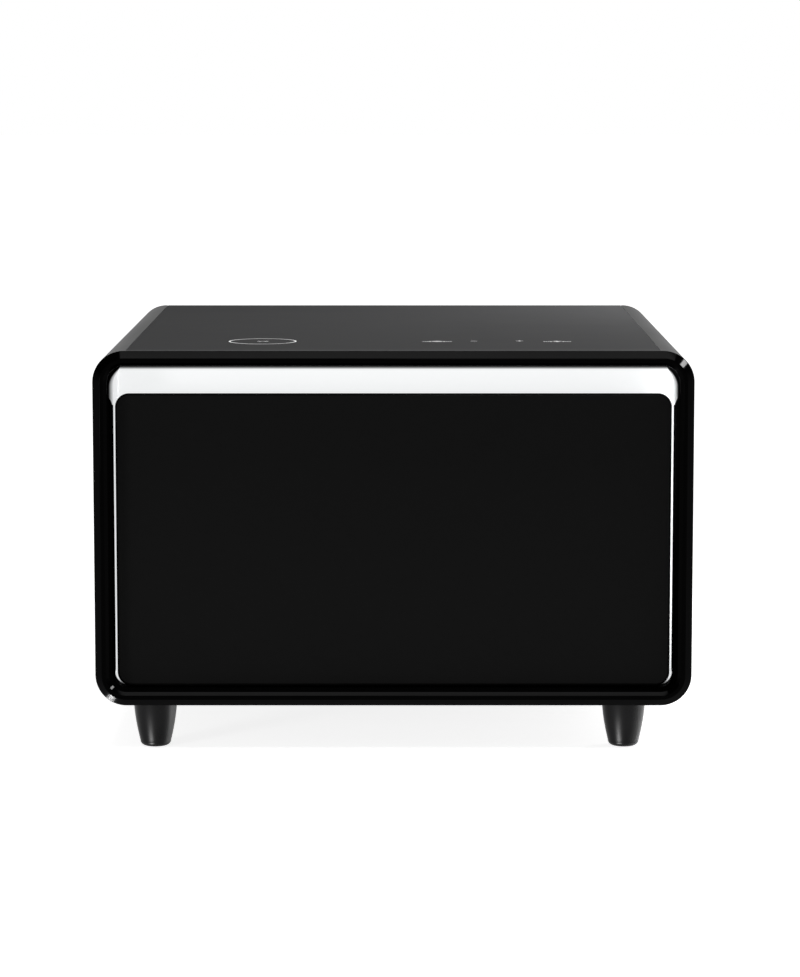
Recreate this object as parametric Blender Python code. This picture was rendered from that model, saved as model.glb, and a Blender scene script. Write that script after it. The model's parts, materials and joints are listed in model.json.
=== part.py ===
"""Smart side table with a fridge drawer.

A low cabinet on four turned feet. A chamfered glossy frame surrounds a lit recess, in which the
front of an insulated drawer stands. The glass top carries touch controls and a charging pad, and a
machine compartment with the cooling circuit lies behind the insulated cavity.

Metres, +Z up, front towards -Y. The origin is on the floor, under the middle of the table.
"""
import math

import bmesh
import bpy
from mathutils import Matrix, Vector

# Overall sizes
BODY_WIDTH = 0.650
BODY_DEPTH = 0.702
BODY_HEIGHT = 0.388
FOOT_HEIGHT = 0.0544
CORNER_RADIUS = 0.034

# Clearances and stock
GAP = 0.0003
SHEET = 0.0012
OVERRUN = 0.004
CORNER_STEPS = 8

# Front frame
FRAME_RING = 0.016
FRAME_CHAMFER = 0.008
FRAME_INNER_CHAMFER = 0.004
FRAME_LAND = 0.0025
SLEEVE_WALL = 0.003
TUNNEL_DEPTH = 0.074
TUNNEL_DRAFT_SIDE = 0.0066
TUNNEL_DRAFT_TOP = 0.003
TUNNEL_DRAFT_BOTTOM = 0.0018

# Glass top and the deck under it
GLASS_THICKNESS = 0.004
GLASS_BORDER = 0.0005
GLASS_EDGE = 0.0006
LEDGE_WIDTH = 0.012
DECK_THICKNESS = 0.0015
BOARD_THICKNESS = 0.0016
CONTROL_CENTRE_X = 0.117
CONTROL_DEPTH = 0.141
CONTROL_WIDTH = 0.190
CONTROL_LENGTH = 0.050
CHARGER_X = -0.1455
CHARGER_DEPTH = 0.142
FERRITE_RADIUS = 0.031
FERRITE_THICKNESS = 0.0014
COIL_RADIUS = 0.0245
COIL_HOLE_RADIUS = 0.010
COIL_THICKNESS = 0.0012

# Lit surround of the opening
SIDE_LIGHT = 0.016
TOP_LIGHT = 0.0395
BOTTOM_LIGHT = 0.0105
OPENING_RADIUS = 0.010
DIFFUSER_THICKNESS = 0.003
HOUSING_DEPTH = 0.012
HOUSING_WALL = 0.0015
LED_TAPE_WIDTH = 0.005
LED_TAPE_MARGIN = 0.0045
LED_TAPE_THICKNESS = 0.0012

# Insulated cavity
LINER_FLANGE = 0.0145
LINER_WALL = 0.002
CAVITY_RADIUS = 0.012
REAR_FOAM = 0.043
MACHINE_DEPTH = 0.1555
EVAPORATOR_MARGIN = 0.030
EVAPORATOR_SHEET = 0.0015
EVAPORATOR_RIDGE = 0.0025
EVAPORATOR_RIDGES = 10
LAMP_WIDTH = 0.080
LAMP_LENGTH = 0.024
LAMP_HEIGHT = 0.008
LAMP_SETBACK = 0.030
PROBE_RADIUS = 0.004
PROBE_LENGTH = 0.030
PROBE_DROP = 0.040
PROBE_REAR_GAP = 0.100

# Drawer front
DOOR_SETBACK = 0.027
DOOR_GAP_SIDE = 0.0004
DOOR_GAP_TOP = 0.029
DOOR_GAP_BOTTOM = 0.0007
DOOR_RADIUS = 0.016
DOOR_GLASS = 0.004
DOOR_GLASS_EDGE = 0.0019
LIP_DEPTH = 0.024
LIP_FALL = 0.0023
CORE_MARGIN = 0.002
CORE_RADIUS = 0.008
GASKET_THICKNESS = 0.004
GASKET_WIDTH = 0.011
GASKET_MARGIN = 0.001
INNER_PANEL_MARGIN = 0.006
INNER_PANEL_DEPTH = 0.008
INNER_PANEL_RADIUS = 0.010

# Drawer bin and its runners
RUNNER_SPACE = 0.013
BIN_FLOOR_GAP = 0.005
BIN_HEIGHT = 0.185
BIN_REAR_GAP = 0.028
BIN_WALL = 0.0025
BIN_RADIUS = 0.020
BIN_RIM = 0.004
BIN_RIM_HEIGHT = 0.003
RUNNER_SETBACK = 0.012
RUNNER_END = 0.006
RUNNER_HEIGHT = 0.036
RUNNER_DROP = 0.070
RUNNER_SHEET = 0.0012
RUNNER_PLAY = 0.0004

# Each runner member's web and flange tips, as shares of the space beside the bin
RUNNER_SHARES = {
    "cabinet_rail": (0.0, 0.66),
    "middle_rail": (0.34, 0.72),
    "drawer_rail": (1.0, 0.5),
}

# Feet, as the photograph shows them a little nearer the left side than the right
FOOT_RADIUS = 0.024
FOOT_TAPER_SHARE = 0.352
FOOT_TAPER_POWER = 1.71
FOOT_EDGE = 0.006
FOOT_SETBACK = 0.060
FOOT_INSET_LEFT = 0.0617
FOOT_INSET_RIGHT = 0.0708
FOOT_RINGS = 7
FOOT_STEPS = 24
PAD_RADIUS = 0.0078
PAD_THICKNESS = 0.002
PAD_STAND = 0.0008

# Back of the cabinet
REAR_RECESS = 0.0028
REAR_FLANGE = 0.014
VENT_SPACE = 0.030
VENT_HEIGHT = 0.110
VENT_RISE = 0.045
VENT_LIP = 0.006
VENT_LIP_THICKNESS = 0.0015
VENT_BODY = 0.006
VENT_COLUMNS = 2
VENT_ROWS = 8
VENT_SLOT = 0.006
VENT_BAR = 0.010
INLET_INSET = 0.090
INLET_RISE = 0.050
INLET_WIDTH = 0.030
INLET_HEIGHT = 0.022
INLET_LIP = 0.004
INLET_WALL = 0.0025
INLET_DEPTH = 0.024
INLET_MOUTH_DEPTH = 0.018
INLET_PIN_LENGTH = 0.010
INLET_PIN_WIDTH = 0.0025
INLET_PIN_HEIGHT = 0.005
INLET_PIN_SPACING = 0.007
SCREW_HEAD_RADIUS = 0.0035
SCREW_HEAD_HEIGHT = 0.0016
SCREW_RADIUS = 0.0018
SCREW_LENGTH = 0.009
SCREW_EDGE = 0.0085
SCREW_HEIGHT_SHARES = (0.0, 0.4, 0.8)

# Machine compartment
BASE_PLATE = 0.002
COMPRESSOR_INSET = 0.140
COMPRESSOR_RADIUS = 0.054
COMPRESSOR_HEIGHT = 0.150
COMPRESSOR_DOME = 0.026
DOME_STEPS = 4
COMPRESSOR_SEAM = 0.003
COMPRESSOR_SEAM_HEIGHT = 0.006
COMPRESSOR_FOOT = 0.003
COMPRESSOR_FOOT_WIDTH = 0.150
COMPRESSOR_FOOT_LENGTH = 0.100
MOUNT_RADIUS = 0.010
MOUNT_HEIGHT = 0.012
MOUNT_EDGE = 0.014
MOUNT_WAIST_SHARE = 0.8
PORT_RADIUS = 0.005
PORT_LENGTH = 0.010
PORT_DROP = 0.039
FAN_SIZE = 0.092
FAN_DEPTH = 0.025
FAN_WALL = 0.003
FAN_SETBACK = 0.062
FAN_HUB_RADIUS = 0.020
FAN_CUP_DEPTH = 0.006
FAN_CUP_STEP = 0.002
FAN_STRUT = 0.006
FAN_BLADES = 7
FAN_BLADE_SHEET = 0.0016
FAN_BLADE_LENGTH = 0.013
FAN_BLADE_PITCH = 32.0
FAN_TIP_GAP = 0.0015
FAN_FRONT_GAP = 0.003
CONDENSER_WIDTH = 0.150
CONDENSER_HEIGHT = 0.110
CONDENSER_DEPTH = 0.040
CONDENSER_SETBACK = 0.014
CONDENSER_SPINE = 0.004
CONDENSER_FINS = 25
CONDENSER_FIN = 0.0015
DRYER_OFFSET = 0.045
DRYER_RADIUS = 0.009
DRYER_LENGTH = 0.090
DRYER_NECK = 0.004
DRYER_NECK_LENGTH = 0.012
DRYER_RISE = 0.090
PIPE_RADIUS = 0.003
PIPE_BEND = 0.014
PIPE_BEND_STEPS = 5
SUCTION_OFFSET = 0.075
SUCTION_RISE = 0.240
SUCTION_STANDOFF = 0.030
DISCHARGE_RISE = 0.215
LIQUID_RISE = 0.030
BOARD_INSET = 0.110
BOARD_WIDTH = 0.120
BOARD_HEIGHT = 0.150
BOARD_RISE = 0.150
BOARD_BLOCK_HEIGHT = 0.018
BOARD_BLOCK_SHARE = 0.34

# Places that follow from the sizes above
FRONT = -BODY_DEPTH / 2
HALF_WIDTH = BODY_WIDTH / 2
BOTTOM = FOOT_HEIGHT
TOP = FOOT_HEIGHT + BODY_HEIGHT
FRAME_BACK = FRAME_CHAMFER + FRAME_LAND
SHELL_FRONT = FRAME_BACK + GAP
SLEEVE_OUTSET = FRAME_RING - SLEEVE_WALL
GLASS_HALF = HALF_WIDTH - CORNER_RADIUS - SHEET - GAP - GLASS_BORDER
LEDGE_TOP = TOP - GLASS_THICKNESS - GAP
DECK_LOW = TOP - SLEEVE_OUTSET + GAP
DECK_TOP = DECK_LOW + DECK_THICKNESS
TUNNEL_HALF = HALF_WIDTH - FRAME_RING
TUNNEL_LOW = BOTTOM + FRAME_RING
TUNNEL_TOP = TOP - FRAME_RING
TUNNEL_END = {
    "half": TUNNEL_HALF - TUNNEL_DRAFT_SIDE,
    "low": TUNNEL_LOW + TUNNEL_DRAFT_BOTTOM,
    "top": TUNNEL_TOP - TUNNEL_DRAFT_TOP,
}
OPENING = {
    "half": TUNNEL_HALF - SIDE_LIGHT,
    "low": TUNNEL_LOW + BOTTOM_LIGHT,
    "top": TUNNEL_TOP - TOP_LIGHT,
}
CAVITY = {
    "half": OPENING["half"] - LINER_FLANGE,
    "low": OPENING["low"] + LINER_FLANGE,
    "top": OPENING["top"] - LINER_FLANGE,
}
HOUSING_FRONT = TUNNEL_DEPTH + DIFFUSER_THICKNESS + GAP
HOUSING_BACK = HOUSING_FRONT + HOUSING_DEPTH
FOAM_FRONT = HOUSING_BACK + GAP
FOAM_TOP = TOP - SLEEVE_OUTSET
PANEL_BACK = BODY_DEPTH - REAR_RECESS
PANEL_FRONT = PANEL_BACK - SHEET
FLANGE_BACK = PANEL_FRONT - GAP
FLANGE_FRONT = FLANGE_BACK - SHEET
PANEL_TOP = LEDGE_TOP - SHEET - GAP
FOAM_BACK = FLANGE_FRONT - MACHINE_DEPTH
CAVITY_BACK = FOAM_BACK - REAR_FOAM - LINER_WALL
LIP_BACK = DOOR_SETBACK + LIP_DEPTH
CORE_BACK = TUNNEL_DEPTH - GASKET_THICKNESS - 2 * GAP
INNER_PANEL_BACK = CORE_BACK + GAP + INNER_PANEL_DEPTH
BIN_FRONT = INNER_PANEL_BACK + GAP
BIN_HALF = CAVITY["half"] - RUNNER_SPACE
BIN_LOW = CAVITY["low"] + BIN_FLOOR_GAP
BIN_TOP = BIN_LOW + BIN_HEIGHT
RUNNER_Z = BIN_TOP - RUNNER_DROP
BIN_BACK = CAVITY_BACK - BIN_REAR_GAP
RUNNER_FRONT = BIN_FRONT + RUNNER_SETBACK
RUNNER_BACK = BIN_BACK - RUNNER_END
BASE_LOW = BOTTOM + SHEET + GAP
BASE_TOP = BASE_LOW + BASE_PLATE
COMPRESSOR_X = -HALF_WIDTH + COMPRESSOR_INSET
INLET_X = HALF_WIDTH - INLET_INSET
BOARD_X = HALF_WIDTH - BOARD_INSET
VENT_LEFT = COMPRESSOR_X + COMPRESSOR_FOOT_WIDTH / 2 + VENT_SPACE
VENT_RIGHT = INLET_X - INLET_WIDTH / 2 - INLET_LIP - VENT_LIP - VENT_SPACE
VENT_X = (VENT_LEFT + VENT_RIGHT) / 2
VENT_WIDTH = VENT_RIGHT - VENT_LEFT
FAN_FRONT = PANEL_BACK - FAN_SETBACK
FAN_Z = BASE_TOP + GAP + FAN_SIZE / 2
CONDENSER_FRONT = FOAM_BACK + CONDENSER_SETBACK
CONDENSER_LEFT = VENT_X - CONDENSER_WIDTH / 2
DRYER_X = CONDENSER_LEFT - DRYER_OFFSET
SUCTION_X = COMPRESSOR_X + SUCTION_OFFSET
COMPRESSOR_DEPTH = (FOAM_BACK + FLANGE_FRONT) / 2
COMPRESSOR_LOW = BASE_TOP + GAP + MOUNT_HEIGHT + GAP
COMPRESSOR_TOP = COMPRESSOR_LOW + COMPRESSOR_FOOT + COMPRESSOR_HEIGHT

ROUND_STEPS = 32
SMALL_ROUND_STEPS = 12

# Colour, roughness and metallic value of each finish
FINISHES = {
    "gloss_black": ((0.004, 0.004, 0.005), 0.10, 0.0),
    "satin_black": ((0.012, 0.012, 0.013), 0.38, 0.0),
    "shell_black": ((0.010, 0.010, 0.011), 0.30, 0.4),
    "smoked_glass": ((0.008, 0.008, 0.009), 0.06, 0.0),
    "opal_white": ((0.90, 0.91, 0.90), 0.45, 0.0),
    "liner_white": ((0.78, 0.79, 0.80), 0.35, 0.0),
    "foam_cream": ((0.72, 0.62, 0.40), 0.90, 0.0),
    "bin_grey": ((0.50, 0.52, 0.54), 0.30, 0.0),
    "zinc_steel": ((0.55, 0.56, 0.58), 0.32, 1.0),
    "aluminium": ((0.75, 0.76, 0.77), 0.30, 1.0),
    "copper": ((0.72, 0.37, 0.22), 0.28, 1.0),
    "rubber": ((0.015, 0.015, 0.015), 0.75, 0.0),
    "board_green": ((0.02, 0.13, 0.06), 0.45, 0.0),
    "ferrite": ((0.05, 0.05, 0.055), 0.60, 0.0),
    "black_plastic": ((0.015, 0.015, 0.016), 0.50, 0.0),
}


def clear_scene():
    """Start from an empty scene."""
    for leftover in list(bpy.data.objects):
        bpy.data.objects.remove(leftover, do_unlink=True)


def make_finish(name):
    """Return the named finish as a material."""
    material = bpy.data.materials.get(name)
    if material is None:
        colour, roughness, metallic = FINISHES[name]
        material = bpy.data.materials.new(name)
        material.use_nodes = True
        shader = material.node_tree.nodes["Principled BSDF"]
        shader.inputs["Base Color"].default_value = (*colour, 1.0)
        shader.inputs["Roughness"].default_value = roughness
        shader.inputs["Metallic"].default_value = metallic
    return material


def make_group(name, at=(0.0, 0.0, 0.0)):
    """Return an empty that stands for one rigid group, at its joint's place."""
    empty = bpy.data.objects.new(name, None)
    empty.location = at
    bpy.context.scene.collection.objects.link(empty)
    return empty


def add_piece(name, bm, finish, group, at=(0.0, 0.0, 0.0)):
    """Turn the mesh into a named piece of the group, moved to a world place."""
    bmesh.ops.recalc_face_normals(bm, faces=bm.faces)
    mesh = bpy.data.meshes.new(name)
    bm.to_mesh(mesh)
    bm.free()
    return add_copy(name, mesh, finish, group, at)


def add_copy(name, mesh, finish, group, at):
    """Place one more copy of a mesh as a piece of its own."""
    mesh.shade_smooth()
    mesh.set_sharp_from_angle(angle=math.radians(30.0))
    if not mesh.materials:
        mesh.materials.append(make_finish(finish))
    piece = bpy.data.objects.new(name, mesh)
    piece.parent = group
    piece.location = Vector(at) - group.location
    bpy.context.scene.collection.objects.link(piece)
    return piece


def combine(piece, bm, operation):
    """Cut a mesh out of a piece, or join it on, through a hidden guide object."""
    bmesh.ops.recalc_face_normals(bm, faces=bm.faces)
    mesh = bpy.data.meshes.new(piece.name + "_guide")
    bm.to_mesh(mesh)
    bm.free()
    guide = bpy.data.objects.new(mesh.name, mesh)
    guide.parent = piece.parent
    guide.location = piece.location
    guide.hide_render = True
    guide.display_type = "WIRE"
    bpy.context.scene.collection.objects.link(guide)
    modifier = piece.modifiers.new(operation.lower(), "BOOLEAN")
    modifier.operation = operation
    modifier.solver = "EXACT"
    modifier.object = guide


def corner_points(centre, radius, start, end):
    """Return the points of one arc, its angles given in degrees."""
    points = []
    for step in range(CORNER_STEPS + 1):
        angle = math.radians(start + (end - start) * step / CORNER_STEPS)
        points.append((centre[0] + radius * math.cos(angle), centre[1] + radius * math.sin(angle)))
    return points


def rounded_outline(half, low, high, radius, top=None):
    """Return a rounded rectangle about the middle plane, trimmed flat at a height if one is given."""
    upper = 90.0
    if top is not None and top < high:
        upper = math.degrees(math.asin(max(0.0, top - (high - radius)) / radius))
    inner = half - radius
    outline = corner_points((inner, low + radius), radius, -90.0, 0.0)
    outline += corner_points((inner, high - radius), radius, 0.0, upper)
    outline += corner_points((-inner, high - radius), radius, 180.0 - upper, 180.0)
    outline += corner_points((-inner, low + radius), radius, 180.0, 270.0)
    return outline


def body_outline(inset, top=None):
    """Return the cabinet's rounded outline, moved inwards by the inset."""
    radius = CORNER_RADIUS - inset
    return rounded_outline(HALF_WIDTH - inset, BOTTOM + inset, TOP - inset, radius, top)


def opening_outline(space, outset, radius):
    """Return the outline of a space that has named limits, moved outwards by the outset."""
    return rounded_outline(space["half"] + outset, space["low"] - outset, space["top"] + outset, radius)


def door_outline(inset=0.0, fall=0.0):
    """Return the drawer front's outline, moved inwards by the inset, its top lowered by the fall."""
    half = TUNNEL_END["half"] - DOOR_GAP_SIDE - inset
    low = TUNNEL_END["low"] + DOOR_GAP_BOTTOM + inset
    high = TUNNEL_END["top"] - DOOR_GAP_TOP - inset
    return rounded_outline(half, low, high - fall, DOOR_RADIUS - inset)


def upright(outline, depth):
    """Stand an outline up at a depth behind the front plane."""
    return [(x, FRONT + depth, z) for x, z in outline]


def flat(outline, height):
    """Lay an outline down at a height."""
    return [(x, y, height) for x, y in outline]


def loft(sections, closed=False):
    """Skin a row of equal sections, with end caps or joined into a ring."""
    bm = bmesh.new()
    rings = [[bm.verts.new(point) for point in section] for section in sections]
    pairs = list(zip(rings, rings[1:]))
    if closed:
        pairs.append((rings[-1], rings[0]))
    else:
        bm.faces.new(rings[0])
        bm.faces.new(rings[-1])
    for ring, following in pairs:
        count = len(ring)
        for i in range(count):
            j = (i + 1) % count
            bm.faces.new((ring[i], ring[j], following[j], following[i]))
    return bm


def box(low, high, bm=None):
    """Return a box between two corners, added to a mesh if one is given."""
    bm = bm or bmesh.new()
    made = bmesh.ops.create_cube(bm, size=1.0)["verts"]
    size = [b - a for a, b in zip(low, high)]
    middle = [(a + b) / 2 for a, b in zip(low, high)]
    bmesh.ops.scale(bm, vec=size, verts=made)
    bmesh.ops.translate(bm, vec=middle, verts=made)
    return bm


def turned(profile, steps, bm=None, axis="Z"):
    """Spin a profile of (radius, along) points about an axis through the local origin."""
    bm = bm or bmesh.new()
    rings = []
    made = []
    for radius, along in profile:
        ring = []
        for step in range(steps if radius > 0.0 else 1):
            angle = 2.0 * math.pi * step / steps
            u, v = radius * math.cos(angle), radius * math.sin(angle)
            place = (u, v, along) if axis == "Z" else (u, along, v)
            ring.append(bm.verts.new(place))
        rings.append(ring)
        made += ring
    for ring, following in zip(rings, rings[1:]):
        for i in range(steps):
            j = (i + 1) % steps
            corners = [ring[i % len(ring)], ring[j % len(ring)]]
            corners += [following[j % len(following)], following[i % len(following)]]
            bm.faces.new(list(dict.fromkeys(corners)))
    for ring in (rings[0], rings[-1]):
        if len(ring) > 1:
            bm.faces.new(ring)
    return bm


def rod(radius, along_low, along_high, steps, axis="Z", bm=None):
    """Return a plain round rod about an axis through the local origin."""
    return turned([(radius, along_low), (radius, along_high)], steps, bm, axis)


def moved(bm, offset):
    """Move a mesh that is still being made."""
    bmesh.ops.translate(bm, vec=offset, verts=bm.verts)
    return bm


def rotated(bm, angle, axis):
    """Turn a mesh that is still being made about an axis through the local origin."""
    turn = Matrix.Rotation(angle, 3, axis)
    bmesh.ops.rotate(bm, cent=(0.0, 0.0, 0.0), matrix=turn, verts=bm.verts)
    return bm


def make_frame_and_shell(cabinet):
    """Make the chamfered front frame and the folded steel shell behind it."""
    ring = [
        (0.0, FRAME_CHAMFER),
        (FRAME_CHAMFER, 0.0),
        (FRAME_RING - FRAME_INNER_CHAMFER, 0.0),
        (FRAME_RING, FRAME_INNER_CHAMFER),
    ]
    sleeve = [(SLEEVE_OUTSET, TUNNEL_DEPTH - GAP), (SLEEVE_OUTSET, FRAME_BACK), (0.0, FRAME_BACK)]
    sections = [upright(body_outline(inset), depth) for inset, depth in ring]
    end = opening_outline(TUNNEL_END, 0.0, CORNER_RADIUS - FRAME_RING - TUNNEL_DRAFT_SIDE)
    sections.append(upright(end, TUNNEL_DEPTH - GAP))
    sections += [upright(body_outline(inset), depth) for inset, depth in sleeve]
    add_piece("front_frame", loft(sections, closed=True), "gloss_black", cabinet)

    rim = GLASS_HALF + GAP
    tip = rim - LEDGE_WIDTH
    inner_radius = CORNER_RADIUS - SHEET
    side = HALF_WIDTH - CORNER_RADIUS
    low = BOTTOM + CORNER_RADIUS
    high = TOP - CORNER_RADIUS
    half_path = [(tip, LEDGE_TOP), (rim, LEDGE_TOP), (rim, TOP)]
    half_path += corner_points((side, high), CORNER_RADIUS, 90.0, 0.0)
    half_path += corner_points((side, low), CORNER_RADIUS, 0.0, -90.0)
    back_path = [(tip, LEDGE_TOP - SHEET), (rim + SHEET, LEDGE_TOP - SHEET), (rim + SHEET, TOP - SHEET)]
    back_path += corner_points((side, high), inner_radius, 90.0, 0.0)
    back_path += corner_points((side, low), inner_radius, 0.0, -90.0)
    outline = half_path + [(-x, z) for x, z in reversed(half_path)]
    outline += [(-x, z) for x, z in back_path] + list(reversed(back_path))
    shell = loft([upright(outline, SHELL_FRONT), upright(outline, BODY_DEPTH)])
    shell = add_piece("cabinet_shell", shell, "shell_black", cabinet)
    flanges = ((SHELL_FRONT, SLEEVE_OUTSET - GAP), (FLANGE_FRONT, REAR_FLANGE))
    for front, reach in flanges:
        flange = loft([upright(flange_outline(reach), depth) for depth in (front, front + SHEET)])
        combine(shell, flange, "UNION")
    holes = bmesh.new()
    for x, z in screw_places():
        hole = rod(SCREW_RADIUS + GAP, -OVERRUN, OVERRUN, SMALL_ROUND_STEPS, axis="Y")
        add_mesh(holes, hole, (x, FRONT + FLANGE_FRONT, z))
    combine(shell, holes, "DIFFERENCE")


def flange_outline(reach):
    """Return the U shape of an inward flange that stops below the top corners."""
    start = SHEET / 2
    side = HALF_WIDTH - CORNER_RADIUS
    low = BOTTOM + CORNER_RADIUS
    high = TOP - CORNER_RADIUS
    outer = [(HALF_WIDTH - start, high)]
    outer += corner_points((side, low), CORNER_RADIUS - start, 0.0, -90.0)
    inner = [(HALF_WIDTH - reach, high)]
    inner += corner_points((side, low), CORNER_RADIUS - reach, 0.0, -90.0)
    outline = outer + [(-x, z) for x, z in reversed(outer)]
    return outline + [(-x, z) for x, z in inner] + list(reversed(inner))


def add_mesh(bm, other, offset):
    """Add a finished mesh to another one at an offset."""
    moved(other, offset)
    mesh = bpy.data.meshes.new("parts")
    other.to_mesh(mesh)
    other.free()
    bm.from_mesh(mesh)
    bpy.data.meshes.remove(mesh)


def screw_places():
    """Return the places of the rear screws, three down each side."""
    x = HALF_WIDTH - SCREW_EDGE
    low = BOTTOM + CORNER_RADIUS
    high = TOP - CORNER_RADIUS
    heights = [low + (high - low) * share for share in SCREW_HEIGHT_SHARES]
    return [(side * x, z) for side in (-1, 1) for z in heights]


def make_top(cabinet):
    """Make the glass top, the deck under it, the touch board and the charging coil."""
    glass_low = (-GLASS_HALF, FRONT + SHELL_FRONT, TOP - GLASS_THICKNESS)
    glass = box(glass_low, (GLASS_HALF, -FRONT - GAP, TOP))
    glass = add_piece("top_glass", glass, "smoked_glass", cabinet)
    bevel = glass.modifiers.new("polished_edge", "BEVEL")
    bevel.width = GLASS_EDGE
    bevel.segments = 1

    deck_front = FRONT + SHELL_FRONT + SHEET + GAP
    deck_back = FRONT + FLANGE_FRONT - GAP
    deck = box((-GLASS_HALF, deck_front, DECK_LOW), (GLASS_HALF, deck_back, DECK_TOP))
    deck = add_piece("top_deck", deck, "black_plastic", cabinet)
    under_glass = TOP - GLASS_THICKNESS - GAP
    board_low = under_glass - BOARD_THICKNESS
    control = ((CONTROL_CENTRE_X, FRONT + CONTROL_DEPTH), (CONTROL_WIDTH / 2, CONTROL_LENGTH / 2))
    platform = plate_box(*control, DECK_LOW + DECK_THICKNESS / 2, board_low - GAP)
    combine(deck, platform, "UNION")
    board = plate_box(*control, board_low, under_glass)
    add_piece("touch_control_board", board, "board_green", cabinet)

    charger = (CHARGER_X, FRONT + CHARGER_DEPTH, 0.0)
    coil_low = under_glass - COIL_THICKNESS
    ferrite_low = coil_low - GAP - FERRITE_THICKNESS
    pedestal = rod(FERRITE_RADIUS, DECK_LOW + DECK_THICKNESS / 2, ferrite_low - GAP, ROUND_STEPS)
    combine(deck, moved(pedestal, charger), "UNION")
    ferrite = rod(FERRITE_RADIUS, ferrite_low, coil_low - GAP, ROUND_STEPS)
    add_piece("charging_ferrite_plate", moved(ferrite, charger), "ferrite", cabinet)
    ring = [circle_outline(radius) for radius in (COIL_RADIUS, COIL_HOLE_RADIUS)]
    heights = (coil_low, under_glass)
    sections = [flat(ring[0], z) for z in heights] + [flat(ring[1], z) for z in reversed(heights)]
    coil = moved(loft(sections, closed=True), charger)
    add_piece("wireless_charging_coil", coil, "copper", cabinet)


def circle_outline(radius, steps=ROUND_STEPS):
    """Return a circle about the origin."""
    angles = [2.0 * math.pi * step / steps for step in range(steps)]
    return [(radius * math.cos(angle), radius * math.sin(angle)) for angle in angles]


def plate_box(centre, half, low, high):
    """Return a box about a centre in plan, between two heights."""
    return box(
        (centre[0] - half[0], centre[1] - half[1], low),
        (centre[0] + half[0], centre[1] + half[1], high),
    )


def make_surround(cabinet):
    """Make the opal diffuser around the opening, its channel and the lit tape in it."""
    opening = opening_outline(OPENING, GAP, OPENING_RADIUS)
    outer = body_outline(SLEEVE_OUTSET)
    depths = (TUNNEL_DEPTH, TUNNEL_DEPTH + DIFFUSER_THICKNESS)
    sections = [upright(outer, depth) for depth in depths]
    sections += [upright(opening, depth) for depth in reversed(depths)]
    add_piece("light_diffuser", loft(sections, closed=True), "opal_white", cabinet)

    channel = body_outline(SLEEVE_OUTSET + HOUSING_WALL)
    bank = opening_outline(OPENING, GAP + HOUSING_WALL, OPENING_RADIUS + HOUSING_WALL)
    floor = HOUSING_BACK - HOUSING_WALL
    sections = [
        upright(outer, HOUSING_FRONT),
        upright(outer, HOUSING_BACK),
        upright(opening, HOUSING_BACK),
        upright(opening, HOUSING_FRONT),
        upright(bank, HOUSING_FRONT),
        upright(bank, floor),
        upright(channel, floor),
        upright(channel, HOUSING_FRONT),
    ]
    add_piece("light_housing", loft(sections, closed=True), "liner_white", cabinet)

    start = SLEEVE_OUTSET + HOUSING_WALL + LED_TAPE_MARGIN
    tape = [body_outline(inset) for inset in (start, start + LED_TAPE_WIDTH)]
    depths = (floor - GAP - LED_TAPE_THICKNESS, floor - GAP)
    sections = [upright(tape[0], depth) for depth in depths]
    sections += [upright(tape[1], depth) for depth in reversed(depths)]
    add_piece("led_strip", loft(sections, closed=True), "opal_white", cabinet)


def make_cavity(cabinet):
    """Make the liner, the foam around it, and what is fixed inside the cavity."""
    inner = opening_outline(CAVITY, 0.0, CAVITY_RADIUS)
    wall = opening_outline(CAVITY, LINER_WALL, CAVITY_RADIUS + LINER_WALL)
    flange = opening_outline(OPENING, 0.0, OPENING_RADIUS)
    flange_back = TUNNEL_DEPTH + LINER_WALL
    sections = [
        upright(inner, CAVITY_BACK),
        upright(inner, TUNNEL_DEPTH),
        upright(flange, TUNNEL_DEPTH),
        upright(flange, flange_back),
        upright(wall, flange_back),
        upright(wall, CAVITY_BACK + LINER_WALL),
    ]
    add_piece("inner_liner", loft(sections), "liner_white", cabinet)

    seat = opening_outline(CAVITY, LINER_WALL + GAP, CAVITY_RADIUS + LINER_WALL + GAP)
    outer = body_outline(SHEET + GAP, FOAM_TOP)
    sections = [
        upright(seat, CAVITY_BACK + LINER_WALL + GAP),
        upright(seat, FOAM_FRONT),
        upright(outer, FOAM_FRONT),
        upright(outer, FOAM_BACK),
    ]
    add_piece("insulation_foam", loft(sections), "foam_cream", cabinet)

    add_piece("evaporator_plate", evaporator(), "aluminium", cabinet)
    lamp_front = FRONT + TUNNEL_DEPTH + LAMP_SETBACK
    lamp_top = CAVITY["top"] - GAP
    lamp = box(
        (-LAMP_WIDTH / 2, lamp_front, lamp_top - LAMP_HEIGHT),
        (LAMP_WIDTH / 2, lamp_front + LAMP_LENGTH, lamp_top),
    )
    add_piece("interior_lamp", lamp, "opal_white", cabinet)
    probe_x = -CAVITY["half"] + GAP + PROBE_RADIUS
    probe_y = FRONT + CAVITY_BACK - PROBE_REAR_GAP - PROBE_LENGTH
    probe = rod(PROBE_RADIUS, 0.0, PROBE_LENGTH, SMALL_ROUND_STEPS, axis="Y")
    place = (probe_x, probe_y, CAVITY["top"] - PROBE_DROP)
    add_piece("temperature_probe", moved(probe, place), "liner_white", cabinet)


def evaporator():
    """Return the cold plate on the liner's rear wall, pressed into upright ridges."""
    half = CAVITY["half"] - EVAPORATOR_MARGIN
    back = FRONT + CAVITY_BACK - GAP
    face = back - EVAPORATOR_SHEET
    pitch = 2 * half / EVAPORATOR_RIDGES
    points = [(-half, back), (half, back), (half, face)]
    for ridge in range(EVAPORATOR_RIDGES):
        right = half - pitch * ridge
        shares = ((0.25, 0.0), (0.35, 1.0), (0.65, 1.0), (0.75, 0.0))
        points += [(right - pitch * along, face - EVAPORATOR_RIDGE * rise) for along, rise in shares]
    points.append((-half, face))
    low = CAVITY["low"] + EVAPORATOR_MARGIN
    return loft([flat(points, low), flat(points, CAVITY["top"] - EVAPORATOR_MARGIN)])


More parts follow.
